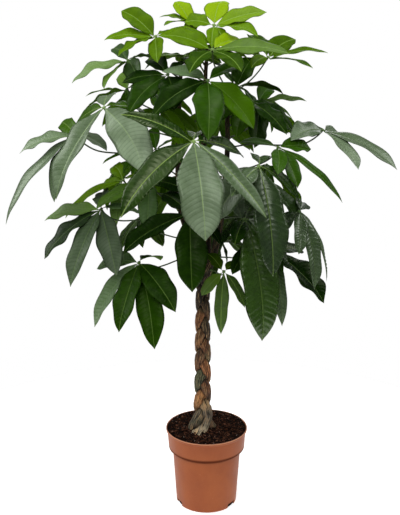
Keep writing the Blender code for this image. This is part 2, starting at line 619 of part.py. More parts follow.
def settle_leaflet(hub, normal, spec, roll, placed, own):
    """The leaflet nearest to the wanted pose that has room round it, or None."""
    heading, rise, length = spec[:3]
    width = spec[3] if len(spec) > 3 else WIDTH_RATIO * length
    for turned, lifted, shrink in leaflet_poses(heading, rise):
        if not STEEPEST <= lifted <= HIGHEST:
            continue
        blade = Blade(hub, normal, turned, lifted, length * shrink / 100, width * shrink / 100, roll)
        if any(blade.radial.angle(other.radial) < LEAFLET_SPREAD for other in own):
            continue
        whole, outer = blade.guard(GUARD_BASE), blade.guard(GUARD_OUTER)
        if any(whole.touches(other) for other in placed) or any(outer.touches(other.outer) for other in own):
            continue
        blade.whole, blade.outer = whole, outer
        return blade
    return None


def settle_leaflets(leaf, hub, normal, placed, rng):
    """The leaf's leaflets that find room, in order round the hub."""
    own = []
    for spec in leaf.leaflets:
        roll = math.radians(rng.uniform(-MOST_ROLL, MOST_ROLL))
        blade = settle_leaflet(hub, normal, spec, roll, placed, own)
        if blade:
            own.append(blade)
    forward = own[0].radial
    leftward = normal.cross(forward)
    for blade in own:
        blade.angle = math.atan2(blade.radial.dot(leftward), blade.radial.dot(forward))
    return sorted(own, key=lambda blade: blade.angle)


def add_leaflet(bm, blade, normal, gap):
    """Skins a leaflet and returns its base ring, narrow enough for the gap to the next leaflet."""
    half = min(HUB_HALF_WIDTH, 0.85 * HUB_RADIUS * math.sin(min(gap, math.pi / 2) / 2))
    sideways = normal.cross(blade.radial) * half
    above, below = normal * BASE_ABOVE, normal * BASE_BELOW
    base = [blade.start - sideways, blade.start + above, blade.start + sideways, blade.start - below]
    rings = [[bm.verts.new(point) for point in ring] for ring in [base] + blade.sections()]
    tip = bm.verts.new(blade.tip)
    for low, high in itertools.pairwise(rings):
        skin(bm, low, high)
    for n, corner in enumerate(rings[-1]):
        bm.faces.new((corner, rings[-1][(n + 1) % 4], tip))
    return rings[0]


def build_leaf(leaf, stem_tree, placed, stem_count, finish, rng):
    ends, guards = settle_petiole(leaf, stem_tree, placed, stem_count)
    hub, normal = ends[2:]
    own = settle_leaflets(leaf, hub, normal, placed + guards[2:], rng)
    placed += guards + [blade.whole for blade in own]
    count = len(own)
    shift = sum(blade.angle - 2 * math.pi * n / count for n, blade in enumerate(own)) / count
    forward = Matrix.Rotation(-own[0].angle, 3, normal) @ own[0].radial
    across = Matrix.Rotation(shift, 3, normal) @ forward
    bm = bmesh.new()
    rows = [[bm.verts.new(point) for point in ring] for ring in petiole_rings(*ends, count, across)]
    for high, low in itertools.pairwise(rows):
        skin(bm, low, high)
    bm.faces.new(rows[-1][::-1])
    neck = rows[0]
    crown = bm.verts.new(hub + normal * HUB_CROWN)
    gaps = [(own[(n + 1) % count].angle - own[n].angle) % (2 * math.pi) for n in range(count)]
    bases = [add_leaflet(bm, own[n], normal, min(gaps[n], gaps[n - 1])) for n in range(count)]
    for n, (clockwise, upper, anticlockwise, lower) in enumerate(bases):
        m = (n + 1) % count
        following = bases[m][0]
        bm.faces.new((clockwise, upper, crown))
        bm.faces.new((upper, anticlockwise, crown))
        bm.faces.new((anticlockwise, following, crown))
        bm.faces.new((clockwise, lower, neck[n]))
        bm.faces.new((lower, anticlockwise, neck[n]))
        bm.faces.new((anticlockwise, following, neck[m]))
        bm.faces.new((anticlockwise, neck[m], neck[n]))
    return add_object(leaf.name, bm, finish, smooth_angle=70)


def clear_scene():
    for obj in list(bpy.data.objects):
        bpy.data.objects.remove(obj, do_unlink=True)


def main():
    clear_scene()
    rng = random.Random(7)
    terracotta = material("pot_plastic", (163, 93, 60), 0.5)
    earth = material("potting_soil", (44, 27, 17), 0.95)
    bark = material("bark", (107, 92, 78), 0.85)
    foliage = material("leaf", (42, 82, 26), 0.4)
    build_pot(terracotta)
    stems = {name: build_stem(name, bark) for name in STEM_PATHS}
    build_soil(earth, stems)
    guards = {name: Guard(mesh_copy(stem)) for name, stem in stems.items()}
    placed = list(guards.values())
    for leaf in LEAVES:
        build_leaf(leaf, guards[leaf.stem].tree, placed, len(stems), foliage, rng)


main()
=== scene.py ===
"""The looks of a potted money tree: leaves, plaited stems, soil and pot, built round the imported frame."""

import math
import random

import bmesh
import bpy
import numpy as np
from mathutils import Matrix, Vector, noise


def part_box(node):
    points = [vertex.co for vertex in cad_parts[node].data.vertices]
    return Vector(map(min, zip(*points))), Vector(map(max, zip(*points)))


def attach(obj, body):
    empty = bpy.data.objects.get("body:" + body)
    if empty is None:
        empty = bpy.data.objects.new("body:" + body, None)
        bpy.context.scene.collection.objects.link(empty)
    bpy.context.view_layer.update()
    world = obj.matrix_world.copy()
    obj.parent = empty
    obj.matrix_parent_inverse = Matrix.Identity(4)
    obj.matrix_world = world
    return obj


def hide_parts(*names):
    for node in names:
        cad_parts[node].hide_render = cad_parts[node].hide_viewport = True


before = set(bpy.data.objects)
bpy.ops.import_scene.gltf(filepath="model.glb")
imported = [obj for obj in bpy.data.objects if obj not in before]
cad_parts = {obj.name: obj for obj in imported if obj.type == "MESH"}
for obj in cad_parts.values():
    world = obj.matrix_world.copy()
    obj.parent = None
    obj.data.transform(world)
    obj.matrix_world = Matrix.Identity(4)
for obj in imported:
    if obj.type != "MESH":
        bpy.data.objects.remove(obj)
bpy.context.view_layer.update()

STEM_PREFIX, LEAF_PREFIX = "stem_", "leaf_"
WELD = 0.00002  # CAD meshes are split along their edges; points this near are one
ANY_TURN = (0, 6.3)  # radians that a random start is drawn from

# Leaflets. Shares are of a leaflet's length, width or half width, or of the spacing of its side veins.
TIP_APART = 0.006  # only a leaflet's tip stands this far from all its neighbours
OUTLINE = (  # (along, half width)
    (0, 0.06), (0.05, 0.21), (0.11, 0.45), (0.2, 0.74), (0.32, 0.92), (0.45, 1.0), (0.57, 0.98),
    (0.7, 0.88), (0.8, 0.72), (0.88, 0.49), (0.94, 0.26), (0.975, 0.1), (1.0, 0.012))
BULK_SHIFT = 0.05  # how far the widest part may sit from its place in the outline
VEIN_ROWS = 3  # rows of the mesh to each side vein
BIG_LEAFLET = 0.15
VEINS = (16, 20)  # on small and big leaflets
ACROSS = (0, 0.07, 0.22, 0.42, 0.63, 0.83, 1.0)  # columns of the mesh, from the midrib to the margin
VEIN_SWEEP = 0.42  # how far the side veins lean to the tip
FOLD = 0.4  # how steeply the blade rises from the midrib
CROWNING = 0.22  # how far it bends down again at the margin
QUILT = 0.13  # how high it bulges between two side veins
SCALLOP = 0.005
MARGIN_WAVER = 0.05
LOPSIDED = 0.07  # how much wider one side may be
SWAY = 0.03
CURL = (0.01, 0.05)
TWIST = 0.04
WAVES = (1.6, 2.8)  # from hub to tip
WAVE_SIZE = (0.03, 0.07)
BLADE_THICKNESS = 0.0005
RIB_RADIUS = 0.0012
RIB_LENGTH = 0.2  # of the leaflet whose midrib has that radius
RIB_PROUD = 0.0002  # how far the midrib stands above the blade
RIB_ROWS, RIB_SIDES = 26, 6
PETIOLE_RADIUS = 0.00135
PETIOLE_ROWS, PETIOLE_SIDES = 28, 10
PETIOLE_ROOT = 0.003  # how deep its foot is let into the bark
HUB_BELOW_CROWN = 0.002
HUB_KNOB = 0.0042
KNOB_ROWS, KNOB_SIDES = 9, 12
BLADE_SLOT, RIB_SLOT, STALK_SLOT = range(3)
# The greening with height is partly the young growth on top and partly painted light on the lit top of the
# crown.
CANOPY = (0.75, 1.2)  # heights over which the leaves turn from dark to fresh

# Stems.
STEM_CORNERS = 8  # of each CAD ring
STEM_SIDES = 40
STEM_ROW = 0.0022
LEVEL_APART = 0.0005  # CAD rings are further apart than this
PLAIT_AXIS = (-0.01, 0.0)
PLAIT_FOOT = (0.24, 0.29)  # heights over which it tightens, going up
PLAIT_HEAD = (0.62, 0.58)  # and going down
PRESS = 0.0027  # how far each stem swells into the gap to its neighbours
PRESS_FADE = (0.66, 0.6)  # heights over which that dies away, going up
DRAW = 0.26  # how much nearer to the plait's middle each stem is drawn
# Painted shade darkens the bark near the other stems.
SHADE_REACH = 0.0045  # how far from a neighbouring stem the bark starts to darken
FLARE = {"stem_right": 0.005, "stem_left": 0.0022, "stem_back": 0.0022}  # how far each foot is swollen
FLARE_FADE = (0.26, 0.2)
FISSURE = 0.0009
GRAIN_RADIUS = 0.012  # of the rod that the bark's pattern is laid out on
BARK_TOP = 0.8

# Pot. Insets are measured inwards from the rim.
RIM, POT_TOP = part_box("pot")[1].x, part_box("pot")[1].z
POT_SIDES = 160
AXIS_GAP = 0.00001
COLLAR_DEPTH = 0.052
COLLAR_INSET, BODY_INSET, BASE_INSET = 0.0065, 0.0165, 0.0265
GROOVE_DROP = 0.0028  # from the collar's foot to the middle of the groove under it
WALL = 0.0022
LIP = 0.0035
POT_FLOOR = 0.0042
SLOTS = np.radians((-35, 85, 205))
SLOT_SIZE = (0.026, 0.03, 0.024)
HOLES = np.radians((45, 135, 225, 315))
HOLE_SIZE = (0.0098, 0.0098, 0.02)
HOLE_RADIUS = 0.035  # of the ring of holes
NOTCH_ROUNDING = 0.0035

# Soil. It reaches out onto the lip's slope.
SOIL_EDGE = RIM - 0.0028
SOIL_LEVEL = POT_TOP - 0.0034
SOIL_HEAP = 0.002
SOIL_BANK = 0.0027  # how far it climbs at the back of the rim
SOIL_RINGS, SOIL_SIDES = 74, 300
SOIL_BELOW = (  # its underside, as (inset, drop)
    (0.0045, 0.012), (0.006, 0.045), (SOIL_EDGE - 0.05, 0.05), (SOIL_EDGE - 0.002, 0.05))
CRUMB_ROOM = 0.002  # between a crumb and the soil's edge
CRUMB_LIFT = 0.0006
CRUMBS = (  # (how many, size, material slot)
    (260, (0.008, 0.0036, 0.0018), 0), (230, (0.012, 0.0014, 0.0012), 1),
    (200, (0.005, 0.0038, 0.0026), 0), (70, (0.0026, 0.0022, 0.0016), 2),
    (90, (0.0085, 0.004, 0.0016), 1), (120, (0.01, 0.0022, 0.0018), 3))
CRUMB_SECTIONS = ((-1, 0.35), (-0.55, 0.9), (0.1, 1.0), (0.6, 0.8), (1, 0.3))  # (along, thickness)
CRUMB_SIDES = 6
CRUMB_SEED = 11
PLUG = (  # the peat in a drain slot: (inset from the base's edge, height)
    (0.012, 0.0006), (0.0034, 0.0006), (0.0028, 0.005),
    (0.0026, 0.01), (0.003, 0.014), (0.012, 0.014))
PLUG_SPREAD = 0.2  # radians to each side of its slot's middle
PLUG_ROWS = 15

# Studio. The camera's place and lens are fitted to the pot's rim, wall and base.
CAMERA_PLACE = (-0.017, -1.986, 1.152)
CAMERA_TILT = math.radians(76)
CAMERA_LENS = 57.95
CROWN = (0, 0, 0.9)  # what the lights aim at
LIGHTS = (  # (name, place, size, power)
    ("key", (-0.3, -2.6, 2.4), (1.9, 1.5), 46), ("overhead", (0.0, -0.2, 3.3), (1.2, 1.2), 26),
    ("left", (-2.4, 0.4, 2.1), (1.5, 1.8), 36), ("right", (2.4, 0.6, 2.2), (1.5, 1.8), 28),
    ("back", (0.4, 2.6, 1.9), (1.6, 1.4), 9))
SUN_AIM = (0.35, 0.35, -1)
SUN_POWER = 0.5
SUN_SPREAD = math.radians(60)
AMBIENT = 0.12
FLOOR_DROP = 0.0005


def linear(red, green, blue):
    """A linear colour from 8-bit sRGB values."""
    return tuple(((c / 255 + 0.055) / 1.055) ** 2.4 for c in (red, green, blue)) + (1.0,)


def smooth(low, high, value):
    share = np.clip((value - low) / (high - low), 0, 1)
    return share * share * (3 - 2 * share)


def through(knots, values, at):
    """A smooth curve through values at the knots, read at other places."""
    knots, values, at = np.asarray(knots, float), np.asarray(values, float), np.asarray(at, float)
    slopes = np.gradient(values, knots, axis=0)
    n = np.clip(np.searchsorted(knots, at, side="right") - 1, 0, len(knots) - 2)
    spread = (-1,) + (1,) * (values.ndim - 1)
    width = (knots[n + 1] - knots[n]).reshape(spread)
    t = (at - knots[n]).reshape(spread) / width
    start = (1 + 2 * t) * (1 - t) ** 2 * values[n] + t * (1 - t) ** 2 * width * slopes[n]
    return start + t * t * (3 - 2 * t) * values[n + 1] + t * t * (t - 1) * width * slopes[n + 1]


def unit(vectors):
    return vectors / np.maximum(np.linalg.norm(vectors, axis=-1, keepdims=True), 1e-12)


def across_to(along, side):
    """side made square to along, row by row."""
    return unit(side - along * np.sum(side * along, axis=-1, keepdims=True))


def round_turns(sides):
    return 2 * math.pi * np.arange(sides) / sides


def welded(node):
    """The CAD node's mesh as a bmesh whose faces share their corners."""
    bm = bmesh.new()
    bm.from_mesh(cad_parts[node].data)
    bmesh.ops.remove_doubles(bm, verts=bm.verts, dist=WELD)
    bm.verts.index_update()
    return bm


def placed(name, data):
    """A new object with the data, linked to the scene."""
    made = bpy.data.objects.new(name, data)
    bpy.context.scene.collection.objects.link(made)
    return made


class Skin:
    """Points, faces, material slots and per-point values gathered for one piece."""

    def __init__(self, *attributes):
        self.points, self.faces, self.slots, self.count = [], [], [], 0
        self.values = {name: [] for name in attributes}

    def tube(self, rings, slot=0, **values):
        """Adds rings of equal counts, skinned and closed at both ends."""
        rings = np.asarray(rings, float)
        rows, count = rings.shape[:2]
        here = np.arange(rows * count).reshape(rows, count) + self.count
        beside = np.roll(here, -1, axis=1)
        faces = np.stack([here[:-1], beside[:-1], beside[1:], here[1:]], axis=2).reshape(-1, 4).tolist()
        faces += [here[0, ::-1].tolist(), here[-1].tolist()]
        self.points.append(rings.reshape(-1, 3))
        self.faces += faces
        self.slots += [slot] * len(faces)
        for name, gathered in self.values.items():
            gathered.append(np.broadcast_to(np.asarray(values.get(name, 0.0), float), rows * count))
        self.count += rows * count

    def piece(self, name, *materials):
        """One smooth object with a float attribute for each kind of value."""
        mesh = bpy.data.meshes.new(name)
        mesh.from_pydata(np.concatenate(self.points).tolist(), [], self.faces)
        for made in materials:
            mesh.materials.append(made)
        mesh.polygons.foreach_set("material_index", self.slots)
        mesh.polygons.foreach_set("use_smooth", [True] * len(self.faces))
        for key, gathered in self.values.items():
            layer = mesh.attributes.new(key, "FLOAT", "POINT")
            layer.data.foreach_set("value", np.concatenate(gathered).astype(np.float32))
        mesh.update()
        return placed(name, mesh)


def level_ring(radius, height, turns):
    return [(radius * math.cos(turn), radius * math.sin(turn), height) for turn in turns]


def rings_along(centres, radii, sides, across):
    """Round rings along a line of centres, turned as little as can be from one to the next."""
    centres = np.asarray(centres, float)
    alongs = unit(np.gradient(centres, axis=0))
    rings = []
    for centre, along, radius in zip(centres, alongs, radii, strict=True):
        across = across_to(along, across)
        other = np.cross(along, across)
        turns = round_turns(sides)
        rings.append(centre + radius * (np.outer(np.cos(turns), across) + np.outer(np.sin(turns), other)))
    return rings


# -------- node helpers


class Nodes:
    """Short ways to build a material's node tree."""

    def __init__(self, name, **settings):
        self.material = bpy.data.materials.new(name)
        self.material.use_nodes = True
        self.tree = self.material.node_tree
        self.shader = self.tree.nodes["Principled BSDF"]
        for socket, value in settings.items():
            self.shader.inputs[socket.replace("_", " ")].default_value = value

    def wired(self, kind, output, inputs=(), **settings):
        """An output of a new node whose inputs, by name or number, are set or linked."""
        made = self.tree.nodes.new("ShaderNode" + kind)
        for key, value in settings.items():
            setattr(made, key, value)
        for key, value in dict(inputs).items():
            self.put(value, made.inputs[key])
        return made.outputs[output]

    def put(self, value, socket):
        if isinstance(value, bpy.types.NodeSocket):
            self.tree.links.new(value, socket)
        else:
            socket.default_value = value

    def attribute(self, name, output="Fac"):
        return self.wired("Attribute", output, attribute_name=name)

    def place(self):
        return self.wired("TexCoord", "Object")

    def scaled(self, vector, *scale):
        return self.wired("Mapping", "Vector", {"Vector": vector, "Scale": scale})

    def up(self, vector):
        """The vector's height above the floor."""
        return self.wired("SeparateXYZ", "Z", {"Vector": vector})

    def joined(self, *parts):
        return self.wired("CombineXYZ", "Vector", enumerate(parts))

    def maths(self, operation, *values, clamp=False):
        return self.wired("Math", "Value", enumerate(values), operation=operation, use_clamp=clamp)

    def times(self, a, b, clamp=False):
        return self.maths("MULTIPLY", a, b, clamp=clamp)

    def noise(self, vector, scale, detail=3.0, roughness=0.55, distortion=0.0):
        return self.wired("TexNoise", "Fac", {"Vector": vector, "Scale": scale, "Detail": detail,
                                              "Roughness": roughness, "Distortion": distortion})

    def cells(self, vector, scale, feature="F1"):
        return self.wired("TexVoronoi", "Distance", {"Vector": vector, "Scale": scale}, feature=feature)

    def span(self, value, low, high, start=0.0, end=1.0):
        """The value moved smoothly from low..high to start..end."""
        given = enumerate((value, low, high, start, end))
        return self.wired("MapRange", "Result", given, interpolation_type="SMOOTHSTEP")

    def ramp(self, value, *stops):
        """stops are (place, colour) pairs."""
        colours = self.wired("ValToRGB", "Color", {"Fac": value})
        elements = colours.node.color_ramp.elements
        while len(elements) < len(stops):
            elements.new(0.5)
        for element, (place, colour) in zip(elements, sorted(stops)):
            element.position = place
            element.color = colour
        return colours

    def mix(self, share, start, end, blend_type="MIX"):
        given = {"Factor": share, "A": start, "B": end}
        return self.wired("Mix", "Result", given, data_type="RGBA", blend_type=blend_type)

    def bump(self, height, distance, strength):
        return self.wired("Bump", "Normal", {"Height": height, "Distance": distance, "Strength": strength})

    def finish(self, colour, roughness, normal=None):
        for value, socket in ((colour, "Base Color"), (roughness, "Roughness"), (normal, "Normal")):
            if value is not None:
                self.put(value, self.shader.inputs[socket])
        return self.material


# -------- materials


# The colour of the painted sheen, a pale grey-green haze standing in for the leaves' sheen.
PAINTED_SHEEN = linear(148, 167, 136)


def leaf_material(name, gloss, shine, **colours):
    """A waxy leaflet: paler veins and midrib, mottled blade, matt paler underside.

    Freshness runs from 0 (deep) to 1 (fresh) and on to 2 (lime). Painted sheen is a pale grey-green haze
    painted into the colour, and below 0 it takes the shine away.
    """
    n = Nodes(name)
    deep, fresh, under_deep, under_fresh, lime, vein, rib = (linear(*colours[key]) for key in (
        "deep", "fresh", "under_deep", "under_fresh", "lime", "vein", "rib"))
    age, under, bloom = n.attribute("fresh"), n.attribute("under"), n.attribute("bloom")
    inside, along, from_rib = n.attribute("inside"), n.attribute("vein"), n.attribute("rib")

    lightness = n.maths("ADD", age, n.span(n.noise(n.place(), 55, 4), 0.3, 0.7, -0.1, 0.12), clamp=True)
    blade = n.mix(under, n.mix(lightness, deep, fresh), n.mix(lightness, under_deep, under_fresh))
    blade = n.mix(n.span(age, 1.0, 2.0), blade, lime)

    # The fine net of veins, the side veins, the midrib and the margin.
    net = n.span(n.cells(n.place(), 420, "DISTANCE_TO_EDGE"), 0.0, 0.14, 0.1, 0.0)
    blade = n.mix(net, blade, vein)
    phase = n.maths("ABSOLUTE", n.maths("SUBTRACT", n.maths("FRACT", n.maths("ADD", along, 0.5)), 0.5))
    blade = n.mix(n.times(n.span(phase, 0.0, 0.12, 0.14, 0.0), inside), blade, vein)
    midrib = n.times(n.span(from_rib, 0.0005, 0.0016, 0.7, 0.0), n.attribute("pale"))
    blade = n.mix(midrib, blade, rib)
    blade = n.mix(n.span(inside, 0.0, 0.12, 0.3, 0.0), blade, vein)

    # Painted sheen: a pale grey-green haze mixed into the colour, weaker along the side veins.
    haze = n.times(bloom, n.span(n.noise(n.place(), 26, 2, 0.5), 0.28, 0.66, 0.72, 1.08))
    haze = n.times(haze, n.span(phase, 0.0, 0.2, 0.72, 1.0), clamp=True)
    blade = n.mix(haze, blade, PAINTED_SHEEN)

    # Green highlights on a clean blade, whiter and weaker ones on a blade with painted sheen.
    tint = n.mix(n.span(bloom, -0.08, 0.06), (0.84, 1.0, 0.42, 1.0), (0.9, 1.0, 0.84, 1.0))
    n.put(tint, n.shader.inputs["Specular Tint"])
    level = n.times(n.span(bloom, -0.1, 0.06, 0.04, shine), n.span(bloom, 0.14, 0.4, 1.0, 0.4))
    n.put(level, n.shader.inputs["Specular IOR Level"])
    rough = n.span(n.noise(n.place(), 90, 3), 0.3, 0.75, gloss - 0.05, gloss + 0.09)
    rough = n.maths("ADD", rough, n.times(under, 0.25), clamp=True)

    # Wrinkles run along the side veins, and differ from leaflet to leaflet.
    stretched = [n.times(value, by) for value, by in ((along, 1.3), (from_rib, 40), (age, 57))]
    wrinkle = n.noise(n.joined(*stretched), 1.0, 1.5, 0.5)
    height = n.maths("SUBTRACT", n.times(wrinkle, 4.0), n.times(net, 0.5))
    height = n.times(height, n.span(bloom, 0.0, 0.14, 1.0, 0.25))
    return n.finish(blade, rough, n.bump(height, 0.0006, 0.4))


def stalk_material(name, colour, tinge):
    """Petioles, midribs and hubs: smooth green with a paler, finely streaked skin."""
    n = Nodes(name, Specular_IOR_Level=0.4)
    streak = n.noise(n.scaled(n.place(), 260, 260, 45), 1.0, 3)
    share = n.times(n.attribute("pale"), n.span(streak, 0.2, 0.7, 0.7, 1.0))
    skin = n.mix(share, linear(*colour), linear(*tinge))
    fleck = n.span(n.cells(n.place(), 700), 0.0, 0.16, 0.3, 0.0)
    skin = n.mix(fleck, skin, linear(90, 80, 40))
    return n.finish(skin, n.span(streak, 0.2, 0.8, 0.42, 0.58), n.bump(streak, 0.0003, 0.5))


def bark_material(name, bands):
    """Fissured bark whose colour changes up the stem, with painted shade where it lies close to the other
    stems. bands are (height, colour) pairs.
    """
    n = Nodes(name, Specular_IOR_Level=0.28)
    place = n.place()
    wander = n.times(n.maths("SUBTRACT", n.noise(place, 34, 3), 0.5), 0.05)
    share = n.maths("DIVIDE", n.maths("ADD", n.up(place), wander), BARK_TOP)
    base = n.ramp(share, *[(z / BARK_TOP, linear(*colour)) for z, colour in bands])

    grain = n.attribute("grain", "Vector")
    streak = n.noise(n.scaled(grain, 520, 520, 34), 1.0, 4, 0.62)
    fissure = n.noise(n.scaled(grain, 900, 900, 120), 1.0, 4, 0.6, 0.4)
    colour = n.mix(n.span(streak, 0.5, 0.62, 0.0, 0.55), base, linear(186, 156, 116), "OVERLAY")
    colour = n.mix(n.span(streak, 0.54, 0.66, 0.0, 0.6), colour, linear(206, 170, 122))
    colour = n.mix(n.span(streak, 0.4, 0.52, 0.92, 0.0), colour, linear(16, 11, 6))
    colour = n.mix(n.span(fissure, 0.36, 0.5, 0.7, 0.0), colour, linear(20, 14, 9))

    lichen = n.span(n.noise(place, 60, 4), 0.52, 0.68, 0.0, 0.3)
    colour = n.mix(lichen, colour, linear(84, 92, 66))
    # Painted shade: the bark darkens where it lies close to the other stems.
    depth = n.times(n.attribute("crevice"), n.span(n.noise(place, 48, 2), 0.34, 0.62, 0.35, 1.0))
    colour = n.mix(depth, colour, linear(14, 11, 6))
    relief = n.maths("ADD", n.times(fissure, 0.6), n.times(streak, 0.9))
    return n.finish(colour, n.span(streak, 0.2, 0.8, 0.72, 0.9), n.bump(relief, 0.0022, 0.9))


def pot_material():
    """Moulded brown-orange plastic with flow mottling, dust and fine scuffs, painted shade in the groove
    under the collar and a painted highlight on the lip.
    """
    n = Nodes("moulded_plastic", Specular_IOR_Level=0.25)
    place = n.place()
    cloud = n.noise(place, 14, 4, 0.6)
    flow = n.noise(n.scaled(place, 30, 30, 7), 1.0, 4)
    colour = n.mix(n.span(cloud, 0.3, 0.7), linear(142, 71, 32), linear(154, 80, 37))
    colour = n.mix(n.span(flow, 0.45, 0.75, 0.0, 0.35), colour, linear(160, 88, 48))
    speck = n.span(n.cells(place, 520), 0.0, 0.13, 0.4, 0.0)
    colour = n.mix(speck, colour, linear(118, 60, 34))
    scuff = n.span(n.noise(n.scaled(place, 160, 160, 900), 1.0, 2), 0.66, 0.76, 0.0, 0.3)
    colour = n.mix(scuff, colour, linear(198, 132, 96))

    # Painted shade darkens the groove under the collar, and a painted highlight makes the lip paler.
    height = n.up(place)
    off_groove = n.maths("ABSOLUTE", n.maths("SUBTRACT", height, POT_TOP - COLLAR_DEPTH - GROOVE_DROP))
    patchy = n.span(cloud, 0.3, 0.7, 0.85, 1.1)
    # Painted shade: a dark band round the groove under the collar, made rougher there too.
    groove_shade = n.times(n.span(off_groove, 0.0026, 0.0092, 1.0, 0.0), patchy)
    colour = n.mix(groove_shade, colour, linear(84, 34, 10))
    # Painted highlight: a pale band at the top of the lip.
    lip = n.span(height, POT_TOP - 0.0032, POT_TOP - 0.0018, 0.0, 0.7)
    colour = n.mix(lip, colour, linear(210, 150, 116))
    rough = n.maths("ADD", n.span(flow, 0.2, 0.8, 0.4, 0.56), n.times(groove_shade, 0.5), clamp=True)
    pores = n.maths("ADD", n.noise(place, 900, 3), n.times(n.noise(place, 120, 3), 0.6))
    return n.finish(colour, rough, n.bump(pores, 0.0003, 0.45))


def soil_material(name, dark, light, speckle):
    """Crumbly earth or bark, from dark to light, with fibres of the speckle colour."""
    n = Nodes(name, Specular_IOR_Level=0.05)
    place = n.place()
    clod = n.noise(place, 130, 5, 0.7)
    crumb = n.cells(place, 520)
    colour = n.mix(n.span(clod, 0.42, 0.68), linear(*dark), linear(*light))
    colour = n.mix(n.span(crumb, 0.0, 0.3, 0.55, 0.0), colour, linear(18, 10, 7))
    fibre = n.span(n.noise(n.scaled(place, 1500, 340, 800), 1.0, 2), 0.62, 0.72, 0.0, 0.7)
    colour = n.mix(fibre, colour, linear(*speckle))
    height = n.maths("ADD", clod, n.times(crumb, 0.8))
    return n.finish(colour, n.span(clod, 0.3, 0.7, 0.7, 0.95), n.bump(height, 0.002, 0.9))


def floor_material():
    n = Nodes("pale_floor", Specular_IOR_Level=0.1, Emission_Strength=0.6, Emission_Color=(1, 1, 1, 1))
    grain = n.noise(n.place(), 3, 3)
    return n.finish(n.mix(grain, linear(240, 240, 239), linear(246, 246, 245)), 0.9)


MATURE = leaf_material(
    "mature_leaf", 0.28, 0.66, deep=(14, 38, 3), fresh=(54, 88, 8), lime=(84, 120, 6),
    under_deep=(34, 56, 8), under_fresh=(76, 112, 10), vein=(60, 90, 28), rib=(136, 164, 76))
SHADED = leaf_material(
    "shaded_leaf", 0.34, 0.13, deep=(14, 36, 2), fresh=(50, 88, 5), lime=(84, 120, 6),
    under_deep=(30, 52, 6), under_fresh=(78, 116, 6), vein=(44, 74, 18), rib=(116, 150, 60))
YOUNG = leaf_material(
    "young_leaf", 0.4, 0.06, deep=(34, 62, 2), fresh=(94, 130, 4), lime=(132, 164, 8),
    under_deep=(60, 92, 3), under_fresh=(106, 142, 8), vein=(100, 138, 30), rib=(128, 162, 60))
STALK = stalk_material("green_stalk", (38, 56, 18), (86, 112, 44))
RIB = stalk_material("pale_midrib", (52, 84, 26), (134, 164, 84))


# -------- leaves


class Leaflet:
    """One leaflet as the CAD leaf gives it: start, tip, bow, width and its sideways axes.

    In CAD a leaflet is a tip and four rings of four points: an edge, two points of the rib, the other edge.
    The second ring from the tip is the widest, and the fourth is where the leaflet leaves the hub.
    """

    def __init__(self, points, near, tip):
        rings, self.used = [], {tip}
        layer = set(near[tip])
        while len(rings) < 4:
            rings.append(sorted(layer))
            self.used |= layer
            layer = set().union(*(near[v] for v in layer)) - self.used
        self.tip = points[tip]
        chord = self.tip - points[rings[3]].mean(0)
        widest = points[rings[1]]
        gaps = np.linalg.norm(widest[:, None] - widest[None], axis=2)
        a, b = np.unravel_index(gaps.argmax(), gaps.shape)
        side = across_to(unit(chord), unit(widest[a] - widest[b]))
        edges, ribs = [], []
        for ring in rings:
            order = sorted(ring, key=lambda v: points[v] @ side)
            edges.append((points[order[0]], points[order[3]]))
            ribs.append(order[1:3])
        middle = points[ribs[1]].mean(0)
        if np.cross(unit(chord), side) @ (sum(edges[1]) / 2 - middle) < 0:
            edges = [pair[::-1] for pair in edges]
        self.start = sum(edges[3]) / 2
        self.bow = 2 * middle - (self.start + self.tip) / 2
        self.side = unit(edges[1][1] - edges[1][0])
        self.first_side = unit(edges[3][1] - edges[3][0])
        self.width = np.linalg.norm(edges[1][1] - edges[1][0])
        self.length = np.linalg.norm(chord)
        self.up = np.cross(unit(chord), self.side)
        self.upper, self.lower = sorted(ribs[3], key=lambda v: points[v] @ self.up)[::-1]


class Leaf:
    """A CAD leaf read back: its leaflets, hub and the line of its petiole."""

    def __init__(self, node):
        bm = welded(node)
        points = np.array([v.co for v in bm.verts], float)
        near = [{edge.other_vert(v).index for edge in v.link_edges} for v in bm.verts]
        bm.free()
        tips = [n for n, around in enumerate(near) if len(around) == 4
                and min(np.linalg.norm(points[m] - points[n]) for m in around) > TIP_APART]
        self.leaflets = [Leaflet(points, near, tip) for tip in tips]
        used = set().union(*(leaflet.used for leaflet in self.leaflets))
        crowns = set().union(*(near[leaflet.upper] for leaflet in self.leaflets)) - used
        crown = points[min(crowns)]
        layer = set().union(*(near[leaflet.lower] for leaflet in self.leaflets)) - used - crowns
        seen = used | crowns
        self.line = []
        while layer:
            self.line.append(points[sorted(layer)].mean(0))
            seen |= layer
            layer = set().union(*(near[v] for v in layer)) - seen
        self.normal = unit(crown - self.line[0])
        self.hub = crown - HUB_BELOW_CROWN * self.normal
        east = across_to(self.normal, np.array([1.0, 0.01, 0.0]))
        compass = np.stack([np.cross(self.normal, east), east])
        self.leaflets.sort(key=lambda leaflet: math.atan2(*compass @ (leaflet.tip - self.hub)))


def blade_line(leaflet, rng):
    """The leaflet's centre line at any share, a little livelier than the CAD's."""
    sway = rng.uniform(-SWAY, SWAY) * leaflet.length
    curl = rng.uniform(*CURL) * leaflet.length

    def line(share):
        share = share[:, None]
        rest = 1 - share
        bent = leaflet.start * rest**2 + leaflet.bow * 2 * share * rest + leaflet.tip * share**2
        swayed = bent + leaflet.side * sway * np.sin(math.pi * share)
        return swayed + leaflet.up * curl * (0.8 * share**2 - share**5)

    return line


